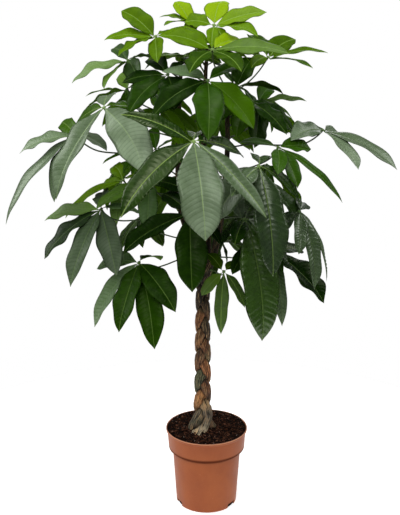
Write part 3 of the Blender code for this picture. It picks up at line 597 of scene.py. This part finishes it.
def blade_grid(leaflet, rows, outline):
    """Shares along the blade at each row and column, and across it at each column.

    Rows follow the side veins, so they sweep forward towards the margin.
    """
    across = np.array([-x for x in ACROSS[:0:-1]] + list(ACROSS))
    start = np.linspace(0, 1, rows)
    reach = outline(start)[:, None] * np.abs(across) / leaflet.length
    along = np.clip(start[:, None] + VEIN_SWEEP * reach * (0.75 + 0.45 * np.abs(across)), 0, 1)
    along[-1] = 1.0
    return along, across


def blade_axes(leaflet, line, flat):
    """The directions to the blade's side and upwards at shares along its centre line."""
    step = 0.004
    along = unit(line(np.minimum(flat + step, 1.0)) - line(np.maximum(flat - step, 0.0)))
    ease = np.clip(flat / 0.2, 0, 1)[:, None]
    side = across_to(along, leaflet.first_side * (1 - ease) + leaflet.side * ease)
    return side, np.cross(along, side)


def vein_bulges(rng, veins, bulge, across):
    """How far the blade bulges between its side veins, by its own amount in each cell."""
    left, right = np.array([[rng.uniform(0.55, 1.25) for _ in range(veins + 1)] for _ in range(2)])
    cell = np.arange(len(bulge)) // VEIN_ROWS
    amount = bulge * np.where(across < 0, left[cell][:, None], right[cell][:, None])
    return amount * (smooth(0.0, 0.2, np.abs(across)) * (1 - 0.85 * np.abs(across) ** 3))


def add_blade(skin, leaflet, rng, fresh, bloom, quilt, pale):
    """A blade, folded, quilted between its side veins and waved at its margin. Returns its centre line."""
    veins = VEINS[leaflet.length > BIG_LEAFLET]
    row = np.arange(veins * VEIN_ROWS + 1)
    line = blade_line(leaflet, rng)
    half = leaflet.width / 2
    knots, shares = np.array(OUTLINE).T
    knots = knots + rng.uniform(-BULK_SHIFT, BULK_SHIFT) * np.sin(math.pi * knots)

    def outline(share):
        return np.clip(through(knots, shares, share), shares[-1], None) * half

    along, across = blade_grid(leaflet, len(row), outline)
    flat = along.ravel()
    lateral = np.broadcast_to(across, along.shape).ravel()
    depth = np.abs(lateral)
    side, up = blade_axes(leaflet, line, flat)

    ripple, lean = rng.uniform(*ANY_TURN), rng.uniform(-LOPSIDED, LOPSIDED)
    waver = MARGIN_WAVER * np.sin(2 * math.pi * 2.6 * flat + ripple + 2.1 * np.sign(lateral))
    width = outline(flat) * (1 + np.sign(lateral) * lean + waver)
    swell = width / half

    fold = FOLD * rng.uniform(0.75, 1.2)
    height = width * (fold * depth - CROWNING * depth**2)
    waves, wave_size = rng.uniform(*WAVES), rng.uniform(*WAVE_SIZE) * leaflet.width
    phase = np.where(lateral < 0, rng.uniform(*ANY_TURN), rng.uniform(*ANY_TURN))
    height += wave_size * depth**2.2 * np.sin(2 * math.pi * waves * flat + phase) * swell
    bulge = (row % VEIN_ROWS > 0).astype(float)[:, None]
    quilting = vein_bulges(rng, veins, bulge, across).ravel() * quilt * leaflet.length / veins
    height += quilting * smooth(0.0, 0.12, flat) * smooth(1.0, 0.86, flat)
    height += rng.uniform(-TWIST, TWIST) * leaflet.width * lateral * swell * smooth(0.2, 1.0, flat)
    scallop = (bulge * (np.abs(across) == 1)).ravel() * SCALLOP * width

    aside = side * (lateral * width + np.sign(lateral) * scallop)[:, None]
    top = line(flat) + aside + up * height[:, None]
    bottom = top - up * (BLADE_THICKNESS * (1 - depth**4))[:, None]
    grid = along.shape

    def both(upper, lower):
        """Rings that run over the upper face and back over the lower one, without its two margins."""
        return np.concatenate([upper.reshape(*grid, -1), lower.reshape(*grid, -1)[:, -2:0:-1]], axis=1)

    def given(upper, lower=None):
        upper = np.broadcast_to(upper, grid)
        return both(upper, upper if lower is None else np.broadcast_to(lower, grid)).ravel()

    # Painted sheen, stronger towards the tip and weaker towards the margin.
    haze = bloom * (0.55 + 0.75 * flat) * (1 - 0.25 * depth)
    skin.tube(
        both(top, bottom), BLADE_SLOT, fresh=fresh, pale=pale, under=given(0.0, 1.0),
        vein=given((row / VEIN_ROWS)[:, None]), inside=given(1 - np.abs(across)),
        rib=given((depth * width).reshape(grid)), bloom=given(haze.reshape(grid)))
    return line


def add_rib(skin, leaf, leaflet, line, pale):
    """The midrib, from the hub to near the tip, standing proud below the blade and a little above it."""
    thick = RIB_RADIUS * math.sqrt(leaflet.length / RIB_LENGTH)
    share = np.linspace(0, 0.985, RIB_ROWS)
    radii = thick * (1 - 0.82 * share**0.8)
    centres = line(share) - leaflet.up * (radii - RIB_PROUD)[:, None]
    stalk = [leaf.hub, leaf.hub + (centres[0] - leaf.hub) * 0.35]
    centres = np.concatenate([stalk, centres])
    radii = np.concatenate([[thick * 1.15, thick * 1.1], radii])
    skin.tube(rings_along(centres, radii, RIB_SIDES, leaflet.side), RIB_SLOT, pale=pale)


def add_knob(skin, leaf, pale):
    """The hub: a squashed round knob with its axis along the leaf's normal."""
    across = across_to(leaf.normal, np.array([0.3, 0.9, 0.2]))
    turns = round_turns(KNOB_SIDES)
    rim = np.outer(np.cos(turns), across) + np.outer(np.sin(turns), np.cross(leaf.normal, across))
    rings = [leaf.hub + leaf.normal * 0.62 * HUB_KNOB * math.sin(tilt) + rim * HUB_KNOB * math.cos(tilt)
             for tilt in np.linspace(-1.45, 1.45, KNOB_ROWS)]
    skin.tube(rings, RIB_SLOT, pale=pale)


def add_petiole(skin, leaf, pale):
    """The stalk, swollen at both ends, with its foot let into the bark."""
    line = np.array([leaf.hub - leaf.normal * 0.001] + leaf.line)
    line = np.concatenate([line, [line[-1] + unit(line[-1] - line[-2]) * PETIOLE_ROOT]])
    knots = np.concatenate([[0], np.cumsum(np.linalg.norm(np.diff(line, axis=0), axis=1))])
    at = np.linspace(0, knots[-1], PETIOLE_ROWS)
    slim = PETIOLE_RADIUS + 0.0045 * knots[-1] / 2
    radii = slim + 0.0011 * np.exp(-((at / 0.007) ** 2)) + 0.0016 * np.exp(-(((knots[-1] - at) / 0.011) ** 2))
    rings = rings_along(through(knots, line, at), radii, PETIOLE_SIDES, np.array([0.2, 0.3, 1.0]))
    skin.tube(rings, STALK_SLOT, pale=0.6 * pale)


# How fresh a leaf's green is, from 0 for the oldest to past 1 for the newest, where its height misleads. Some
# are raised as painted light, for leaves in shade or with light shining through them.
FRESH_AND_LIT = {
    "shoot": 0.15, "left_side": 0.75, "left_inner": 0.95, "front_high": 0.45, "top_centre": 0.85,
    "top_left": 0.75, "top_front": 0.45, "top_right": 0.25, "upper_left": 0.75, "inner_top": 0.2,
    "back_top": 0.3, "right_upper": 0.75, "centre_left": 0.1, "inner_high_left": 1.6,
    "inner_high_right": 0.5, "top_star": 0.4, "back_centre": 0.95, "back_upper_left": 1.1,
    "back_upper_right": 1.0, "back_left": 1.0, "right_crown": 0.75, "back_middle": 0.6, "back_right": 0.6,
    "left_low": 0.36, "inner_right": 0.35}
# How pale its midribs are.
PALE_RIBS = {"front_centre": 1.0, "left_front": 0.75, "front_right": 0.6, "top_centre": 0.9}
# How much painted sheen, a pale grey-green haze in the colour, its leaflets carry.
PAINTED_SHEEN_BY_LEAF = {
    "left_far": 0.52, "right_far": 0.6, "left_front": 0.55, "front_centre": 0.15, "front_right": 0.06,
    "right_middle": 0.12, "left_middle": 0.27, "low_right": 0.03, "inner_centre": 0.4, "inner_right": 0.12,
    "right_low": 0.06, "left_crown": 0.12}
# Leaflets that stand out from the rest of their leaf: (number round the hub, freshness, painted sheen). Some
# are made fresher or given more painted sheen as painted light, where they sit in shade.
TONES = {
    "front_centre": ((0, 0.2, -0.02), (1, 0.35, 0.7), (2, 0.45, 0.32), (3, 0.1, -0.08), (5, 0.15, -0.04)),
    "front_high": ((0, 0.05, -0.1), (1, 0.6, -0.03), (2, 1.35, -0.1), (4, 0.9, 0.48)),
    "front_right": ((0, 0.3, 0.36), (1, 0.3, 0.26), (2, 0.1, 0.05), (3, 0.15, -0.1)),
    "left_front": ((1, 0.4, 0.95), (2, 0.7, -0.1), (4, 0.8, -0.1)),
    "left_far": ((2, 0.5, 0.95), (3, 1.1, -0.1), (4, 0.6, 0.64)),
    "left_low": ((0, 1, 0.52), (5, 0.9, 0.34)),
    "left_middle": ((0, 0.05, 0.06), (1, 0.15, 0.3), (5, 2, 0.36), (3, 1.1, 0.45)),
    "left_crown": ((0, 2, 0.45), (1, 1.8, 0.1)),
    "low_right": ((0, 0.05, -0.1), (1, 0, -0.1), (2, 0.5, 0.02), (3, 0.3, 0.12)),
    "low_centre": ((0, 0, -0.1),),
    "right_low": ((1, 0.5, 0.34), (2, 0, -0.1), (3, 0.1, -0.03)),
    "right_middle": ((1, 0.3, 0.2), (2, 0.25, 0.18), (3, 0.5, 0.42)),
    "right_crown": ((2, 2, 0.2), (3, 1.7, 0.18), (1, 0.3, -0.1)),
    "right_far": ((1, 0.3, 0.66), (2, 0.3, 0.4)),
    "right_upper": ((4, 0.6, 0.12),),
    "inner_left": ((1, 1.5, 0.08), (2, 0.8, 0.15), (3, 0, -0.1), (4, 0, -0.1)),
    "inner_high_right": ((0, 0.9, -0.05), (1, 1.2, -0.05), (2, 0.1, -0.08), (3, 0.1, -0.08)),
    "left_star": ((0, 1.6, 0.02), (1, 1, -0.03), (4, 1.8, 0.08), (5, 1.6, -0.1)),
    "left_side": ((1, 0.9, 0.25),),
    "shoot": ((0, 0.9, 0.2), (1, 0.2, 0.14), (2, 0.2, 0.1), (4, 0.2, -0.05)),
    "top_front": ((0, 0, -0.1), (1, 0.1, -0.1), (2, 0.55, 0.14), (3, 2, 0), (4, 0.7, -0.08)),
    "top_centre": ((4, 1.85, -0.05), (3, 1.4, 0.05)),
    "top_left": ((3, 1.8, -0.05), (4, 0.6, -0.08)),
    "top_right": ((3, 0.3, -0.08), (0, 0.5, 0)),
    "inner_top": ((0, 1.1, 0.1),),
}
# How deep the quilting is, against its usual depth.
QUILTED = {
    "low_right": 1.3, "right_middle": 1.3, "front_right": 1.35, "inner_right": 1.3, "right_low": 1.2,
    "left_middle": 0.4, "left_far": 0.4, "left_front": 0.45, "right_far": 0.4}
GLOSSY_LEAVES = {
    "left_far", "left_front", "right_far", "front_centre", "front_right", "right_middle", "right_low",
    "inner_centre", "low_right"}
NEW_LEAVES = {
    "top_centre", "top_left", "top_front", "top_right", "upper_left", "inner_top", "back_top", "shoot",
    "left_side"}


def build_leaf(node):
    leaf = Leaf(node)
    rng = random.Random(node)
    name = node.removeprefix(LEAF_PREFIX)
    young = name in NEW_LEAVES
    lift = smooth(*CANOPY, leaf.hub[2])
    # Fresher with height: partly young growth, partly painted light on the lit top.
    fresh = FRESH_AND_LIT.get(name, float(0.05 + 0.55 * lift))
    pale = PALE_RIBS.get(name, 0.75 if young else rng.uniform(0.15, 0.45))
    quilt = QUILT * (1.15 - 0.75 * lift) * QUILTED.get(name, 1.0)
    # Painted sheen for the leaf's blades; below 0 it takes the shine away.
    bloom = PAINTED_SHEEN_BY_LEAF.get(name, -0.04 if young else rng.uniform(-0.09, 0.0))
    tones = {number: tone for number, *tone in TONES.get(name, ())}
    skin = Skin("fresh", "under", "vein", "rib", "inside", "pale", "bloom")
    for number, leaflet in enumerate(leaf.leaflets):
        own = (min(1.5, max(0.0, fresh + rng.uniform(-0.22, 0.18))), bloom * rng.uniform(0.75, 1.15))
        line = add_blade(skin, leaflet, rng, *tones.get(number, own), quilt, pale)
        add_rib(skin, leaf, leaflet, line, pale)
    add_knob(skin, leaf, pale)
    add_petiole(skin, leaf, pale)
    blade = YOUNG if young else MATURE if name in GLOSSY_LEAVES else SHADED
    piece = skin.piece("foliage_" + name, blade, RIB, STALK)
    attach(piece, "root")
    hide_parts(node)


# -------- stems


# Colours up the bark of each stem, as (height, colour).
BARKS = {
    "stem_right": (
        (0.0, (196, 180, 150)), (0.205, (204, 186, 154)), (0.225, (150, 140, 122)), (0.25, (128, 116, 102)),
        (0.285, (206, 168, 118)), (0.31, (104, 106, 80)), (0.37, (88, 94, 68)), (0.42, (112, 74, 48)),
        (0.5, (134, 86, 50)), (0.56, (46, 36, 24))),
    "stem_left": (
        (0.0, (104, 96, 86)), (0.24, (126, 98, 72)), (0.29, (190, 132, 80)), (0.32, (112, 76, 50)),
        (0.37, (168, 108, 68)), (0.4, (110, 76, 50)), (0.45, (140, 98, 62)), (0.5, (92, 66, 44)),
        (0.56, (46, 36, 24))),
    "stem_back": (
        (0.0, (112, 104, 92)), (0.25, (106, 98, 82)), (0.29, (104, 74, 56)), (0.34, (128, 80, 50)),
        (0.4, (96, 64, 44)), (0.48, (66, 54, 38)), (0.56, (46, 36, 24)))}


def stem_levels(node):
    """The CAD stem as (height, centre, reach at each of the eight corners), from the foot up."""
    bm = welded(node)
    points = np.array([v.co for v in bm.verts], float)
    bm.free()
    levels = []
    points = points[np.argsort(points[:, 2])]
    for group in np.split(points, np.flatnonzero(np.diff(points[:, 2]) > LEVEL_APART) + 1):
        if len(group) != STEM_CORNERS:
            continue
        flat = group[:, :2]
        turn = np.arctan2(*(flat - flat.mean(0)).T[::-1])
        flat = flat[np.argsort(turn)]
        # Opposite corners lie on one line through the stem's true centre.
        lines = unit(flat[4:] - flat[:4])
        normals = np.stack([-lines[:, 1], lines[:, 0]], axis=1)
        centre = np.linalg.lstsq(normals, np.sum(normals * flat[:4], axis=1), rcond=None)[0]
        turn = np.arctan2(*(flat - centre).T[::-1])
        corner = np.round(turn / (math.pi / 4) - 0.5).astype(int) % STEM_CORNERS
        reach = np.zeros(STEM_CORNERS)
        reach[corner] = np.linalg.norm(flat - centre, axis=1)
        levels.append((group[:, 2].mean(), centre, reach))
    return levels


def stem_form(node):
    """Heights, centres and corner reaches of a stem, drawn tighter into the plait than the CAD's."""
    heights, centres, reaches = map(np.array, zip(*stem_levels(node)))
    plaited = smooth(*PLAIT_FOOT, heights) * smooth(*PLAIT_HEAD, heights)
    centres += (PLAIT_AXIS - centres) * DRAW * plaited[:, None]
    swell = PRESS * (0.25 + 0.75 * smooth(*PRESS_FADE, heights)) + FLARE[node] * smooth(*FLARE_FADE, heights)
    return heights, centres, reaches + swell[:, None]


def build_stem(node, forms):
    heights, centres, reaches = forms[node]
    rng = random.Random(node)
    offset = Vector([rng.uniform(0, 90) for _ in range(3)])
    rows = math.ceil((heights[-1] - heights[0]) / STEM_ROW) + 1
    z = np.linspace(heights[0], heights[-1], rows)
    centre = through(heights, centres, z)
    turns = round_turns(STEM_SIDES)
    # The eight corners sit half a step on from +X; two more at each end close the round.
    corners = np.arange(-2, STEM_CORNERS + 2)
    reach = through(heights, reaches, z).T[corners % STEM_CORNERS]
    reach = through((corners + 0.5) * math.pi / 4, reach, turns).T
    steps = np.hypot(np.linalg.norm(np.diff(centre, axis=0), axis=1), np.diff(z))
    length = np.concatenate([[0], np.cumsum(steps)])
    rings, grain = np.zeros((2, rows, STEM_SIDES, 3))
    for r in range(rows):
        for k, turn in enumerate(turns):
            around = Vector((math.cos(turn), math.sin(turn), 0)) * GRAIN_RADIUS
            spot = Vector((around.x, around.y, length[r] * 0.22))
            crack = noise.fractal(spot * 330 + offset, 0.9, 2.1, 4)
            lump = noise.noise(spot * 90 + offset)
            out = reach[r, k] + FISSURE * (0.55 * crack - 0.25 * abs(crack) + 0.8 * lump)
            rings[r, k] = (centre[r, 0] + math.cos(turn) * out, centre[r, 1] + math.sin(turn) * out, z[r])
            grain[r, k] = (around.x, around.y, length[r])
    # How close each point is to another stem, for the painted shade there.
    crevice = np.zeros((rows, STEM_SIDES))
    for levels, line, widths in (form for other, form in forms.items() if other != node):
        nearby = np.stack([np.interp(z, levels, line[:, axis]) for axis in (0, 1)], axis=1)
        gap = np.linalg.norm(rings[:, :, :2] - nearby[:, None], axis=2)
        gap -= np.interp(z, levels, widths.mean(1))[:, None]
        crevice = np.maximum(crevice, smooth(SHADE_REACH, 0.0, gap) * (z < levels[-1])[:, None])
    skin = Skin("crevice")
    skin.tube(rings, crevice=crevice.ravel())
    name = node.removeprefix(STEM_PREFIX)
    piece = skin.piece("trunk_" + name, bark_material("bark_" + name, BARKS[node]))
    layer = piece.data.attributes.new("grain", "FLOAT_VECTOR", "POINT")
    layer.data.foreach_set("vector", grain.astype(np.float32).ravel())
    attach(piece, "root")
    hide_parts(node)


# -------- pot


def rounded(profile):
    """An outline of (radius, height, rounding) corners, with each rounding turned as a short curve."""
    points = []
    for n, (*here, rounding) in enumerate(profile):
        here = np.array(here)
        if rounding == 0:
            points.append(here)
            continue
        ends = []
        for other in (profile[n - 1], profile[n + 1]):
            away = other[:2] - here
            ends.append(here + away * min(0.5, rounding / np.linalg.norm(away)))
        for share in (0, 0.25, 0.5, 0.75, 1):
            points.append(ends[0] * (1 - share) ** 2 + here * 2 * share * (1 - share) + ends[1] * share**2)
    return points


def lathe(name, points, sides, material):
    """Turns an outline of (radius, height) points into a mesh, closed by tiny rings on the axis."""
    skin = Skin()
    skin.tube([level_ring(max(r, AXIS_GAP), z, round_turns(sides)) for r, z in points])
    return skin.piece(name, material)


def cut(piece, cutter):
    boolean = piece.modifiers.new("cut", "BOOLEAN")
    boolean.solver = "EXACT"
    boolean.object = cutter
    bpy.context.view_layer.update()
    mesh = bpy.data.meshes.new_from_object(piece.evaluated_get(bpy.context.evaluated_depsgraph_get()))
    piece.modifiers.clear()
    piece.data = mesh
    bpy.data.objects.remove(cutter)


def slab(size, place):
    """A box with a rounded top and sides, to cut a moulded notch."""
    bm = bmesh.new()
    bmesh.ops.create_cube(bm, size=1, matrix=Matrix.Diagonal((*size, 1)))
    bmesh.ops.bevel(bm, geom=bm.edges, offset=NOTCH_ROUNDING, segments=4, profile=0.5, affect="EDGES")
    bm.transform(place)
    mesh = bpy.data.meshes.new("cutter")
    bm.to_mesh(mesh)
    bm.free()
    return placed("cutter", mesh)


def build_pot(material):
    foot = POT_TOP - COLLAR_DEPTH
    wide, body_top, base = RIM - COLLAR_INSET, RIM - BODY_INSET, RIM - BASE_INSET

    def body(z):
        return base + (body_top - base) * z / foot

    def bore(z):
        return body(z) - WALL

    # (radius, height, rounding): out under the base, up the outside, over the rim and down the bore.
    outline = rounded([
        (0, 0.0022, 0), (base - 0.012, 0.0022, 0.0008), (base - 0.01, 0, 0.0008), (base, 0, 0.0022),
        (body(foot - 0.007), foot - 0.007, 0.0015), (body(foot) - 0.0034, foot - 0.0048, 0.0012),
        (body(foot) - 0.0034, foot - 0.0016, 0.001),
        (wide - 0.0004, foot - 0.0022, 0.0016), (wide, foot + 0.003, 0.002),
        (RIM - LIP, POT_TOP - 0.011, 0.003), (RIM - LIP + 0.0003, POT_TOP - 0.008, 0.001),
        (RIM, POT_TOP - 0.0055, 0.0018), (RIM, POT_TOP - 0.001, 0.0012), (RIM - 0.0009, POT_TOP, 0.0008),
        (RIM - 0.0018, POT_TOP - 0.0006, 0.0008), (RIM - 0.0026, POT_TOP - 0.0045, 0.001),
        (RIM - LIP - WALL, POT_TOP - 0.009, 0.003), (wide - WALL, foot + 0.006, 0.003),
        (bore(foot), foot, 0.003), (bore(0.003), POT_FLOOR, 0.004), (0, POT_FLOOR, 0)])
    pot = lathe("nursery_pot", outline, POT_SIDES, material)
    for turns, size, out in ((SLOTS, SLOT_SIZE, base + 0.001), (HOLES, HOLE_SIZE, HOLE_RADIUS)):
        for turn in turns:
            cut(pot, slab(size, Matrix.Rotation(turn, 4, "Z") @ Matrix.Translation((out, 0, 0))))
    pot.data.shade_smooth()
    pot.data.set_sharp_from_angle(angle=math.radians(50))
    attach(pot, "root")
    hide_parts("pot")


# -------- soil


def soil_height(x, y):
    """The surface: rough and cloddy, heaped in the middle and banked up at the back."""
    far = min(1.0, math.hypot(x, y) / SOIL_EDGE)
    spot = Vector((x, y, 0))
    rough = 0.0016 * noise.fractal(spot * 55, 0.9, 2.0, 3)
    rough += 0.0014 * noise.fractal(spot * 260 + Vector((7, 3, 1)), 0.8, 2.1, 4)
    nearest = noise.voronoi(spot * 125)[0][0]
    clods = 0.004 * (0.45 - nearest) * (0.7 + noise.noise(spot * 40))
    bank = SOIL_BANK * float(smooth(0.6, 1.0, far)) * float(smooth(0.0, 0.06, y))
    return SOIL_LEVEL + SOIL_HEAP * math.cos(far * math.pi / 2) + rough + clods + bank


def build_soil(material):
    turns = round_turns(SOIL_SIDES)
    rings = []
    for r in range(1, SOIL_RINGS + 1):
        radius = SOIL_EDGE * r / SOIL_RINGS
        flat = [(radius * math.cos(a), radius * math.sin(a)) for a in turns + r % 2 * math.pi / SOIL_SIDES]
        rings.append([(x, y, soil_height(x, y)) for x, y in flat])
    rings += [level_ring(SOIL_EDGE - inset, SOIL_LEVEL - drop, turns) for inset, drop in SOIL_BELOW]
    skin = Skin()
    skin.tube(rings)
    soil = skin.piece("potting_soil", material)
    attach(soil, "root")
    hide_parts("soil")


def crumb(rng, size):
    """The rings of one rough chip, lying on the soil."""
    scale = rng.uniform(0.5, 1.35)
    turn = rng.uniform(0, 2 * math.pi)
    far = (SOIL_EDGE - CRUMB_ROOM - size[0] * scale / 2) * math.sqrt(rng.random())
    x, y = far * math.cos(turn), far * math.sin(turn)
    turned = Matrix.Rotation(rng.uniform(*ANY_TURN), 3, "Z") @ Matrix.Rotation(rng.uniform(-0.5, 0.5), 3, "Y")
    turned = turned @ Matrix.Rotation(rng.uniform(*ANY_TURN), 3, "X")
    centre = Vector((x, y, soil_height(x, y) + CRUMB_LIFT))
    bend = rng.uniform(-0.5, 0.5)
    rings = []
    for along, thick in CRUMB_SECTIONS:
        ring = []
        for a in round_turns(CRUMB_SIDES):
            rough = thick * rng.uniform(0.7, 1.15)
            wide = rough * math.cos(a) + bend * along * along
            local = Vector((along * size[0], wide * size[1], rough * math.sin(a) * size[2])) * scale / 2
            ring.append(centre + turned @ local)
        rings.append(ring)
    return rings


def build_crumbs(*materials):
    """Bark chips, fibres and a few pale grains lying on the soil."""
    rng = random.Random(CRUMB_SEED)
    skin = Skin()
    for count, size, slot in CRUMBS:
        for _ in range(count):
            skin.tube(crumb(rng, size), slot)
    crumbs = skin.piece("soil_crumbs", *materials)
    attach(crumbs, "root")


def build_slot_soil(material):
    """Peat showing in the drain slots at the pot's base edge, in the darkest peat: partly its own colour,
    partly painted shade inside the slots.
    """
    skin = Skin()
    for middle in SLOTS:
        rings = []
        for angle in middle + np.linspace(-PLUG_SPREAD, PLUG_SPREAD, PLUG_ROWS):
            ring = []
            for inset, z in PLUG:
                spot = Vector((math.cos(angle), math.sin(angle), z * 20)) * 12
                out = RIM - BASE_INSET - inset + 0.0012 * noise.noise(spot)
                ring.append((out * math.cos(angle), out * math.sin(angle), z))
            rings.append(ring)
        skin.tube(rings)
    plug = skin.piece("slot_soil", material)
    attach(plug, "root")


# -------- stage


def build_floor():
    mesh = bpy.data.meshes.new("floor")
    bm = bmesh.new()
    bmesh.ops.create_circle(bm, cap_ends=True, segments=96, radius=1.0)
    bm.to_mesh(mesh)
    bm.free()
    mesh.materials.append(floor_material())
    floor = placed("floor", mesh)
    floor.location.z = -FLOOR_DROP


def build_world():
    """White behind everything, but only a dim light from all round."""
    world = bpy.data.worlds.new("studio")
    world.use_nodes = True
    bpy.context.scene.world = world
    tree = world.node_tree
    glow = tree.nodes["Background"]
    backdrop = tree.nodes.new("ShaderNodeBackground")
    for light in (glow, backdrop):
        light.inputs["Color"].default_value = (1, 1, 1, 1)
    glow.inputs["Strength"].default_value = AMBIENT
    path = tree.nodes.new("ShaderNodeLightPath")
    mixed = tree.nodes.new("ShaderNodeMixShader")
    for n, value in enumerate((path.outputs["Is Camera Ray"], glow.outputs[0], backdrop.outputs[0])):
        tree.links.new(value, mixed.inputs[n])
    tree.links.new(mixed.outputs[0], tree.nodes["World Output"].inputs["Surface"])


def aim(light, along):
    light.rotation_euler = Vector(along).to_track_quat("-Z", "Y").to_euler()


def build_lights():
    for name, place, size, power in LIGHTS:
        data = bpy.data.lights.new(name, "AREA")
        data.shape = "RECTANGLE"
        data.size, data.size_y = size
        data.energy = power
        light = placed(name, data)
        light.location = place
        aim(light, Vector(CROWN) - light.location)
        light.visible_camera = False
    data = bpy.data.lights.new("soft_sun", "SUN")
    data.energy = SUN_POWER
    data.angle = SUN_SPREAD
    aim(placed("soft_sun", data), SUN_AIM)


def build_camera():
    data = bpy.data.cameras.new("camera")
    data.lens = CAMERA_LENS
    data.sensor_width = 36.0
    data.clip_end = 200
    camera = placed("camera", data)
    camera.location = CAMERA_PLACE
    camera.rotation_euler = (CAMERA_TILT, 0, 0)
    bpy.context.scene.camera = camera


def main():
    bpy.context.scene.view_settings.view_transform = "Standard"
    build_camera()
    build_floor()
    build_world()
    build_lights()
    build_pot(pot_material())
    earth = soil_material("potting_soil", (3, 1, 0), (40, 21, 13), (104, 66, 44))
    chips = soil_material("bark_chips", (34, 18, 12), (96, 60, 42), (128, 88, 64))
    straws = soil_material("fibres", (76, 46, 34), (134, 92, 70), (150, 112, 88))
    grains = soil_material("pale_grains", (120, 104, 96), (186, 172, 160), (150, 130, 118))
    black = soil_material("black_peat", (6, 3, 2), (20, 11, 8), (46, 28, 20))
    build_soil(earth)
    build_crumbs(chips, straws, grains, black)
    # The slots' peat is partly soil's own colour and partly painted shade inside the slots.
    build_slot_soil(black)
    forms = {node: stem_form(node) for node in BARKS}
    for node in BARKS:
        build_stem(node, forms)
    for node in sorted(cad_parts):
        if node.startswith(LEAF_PREFIX):
            build_leaf(node)


main()
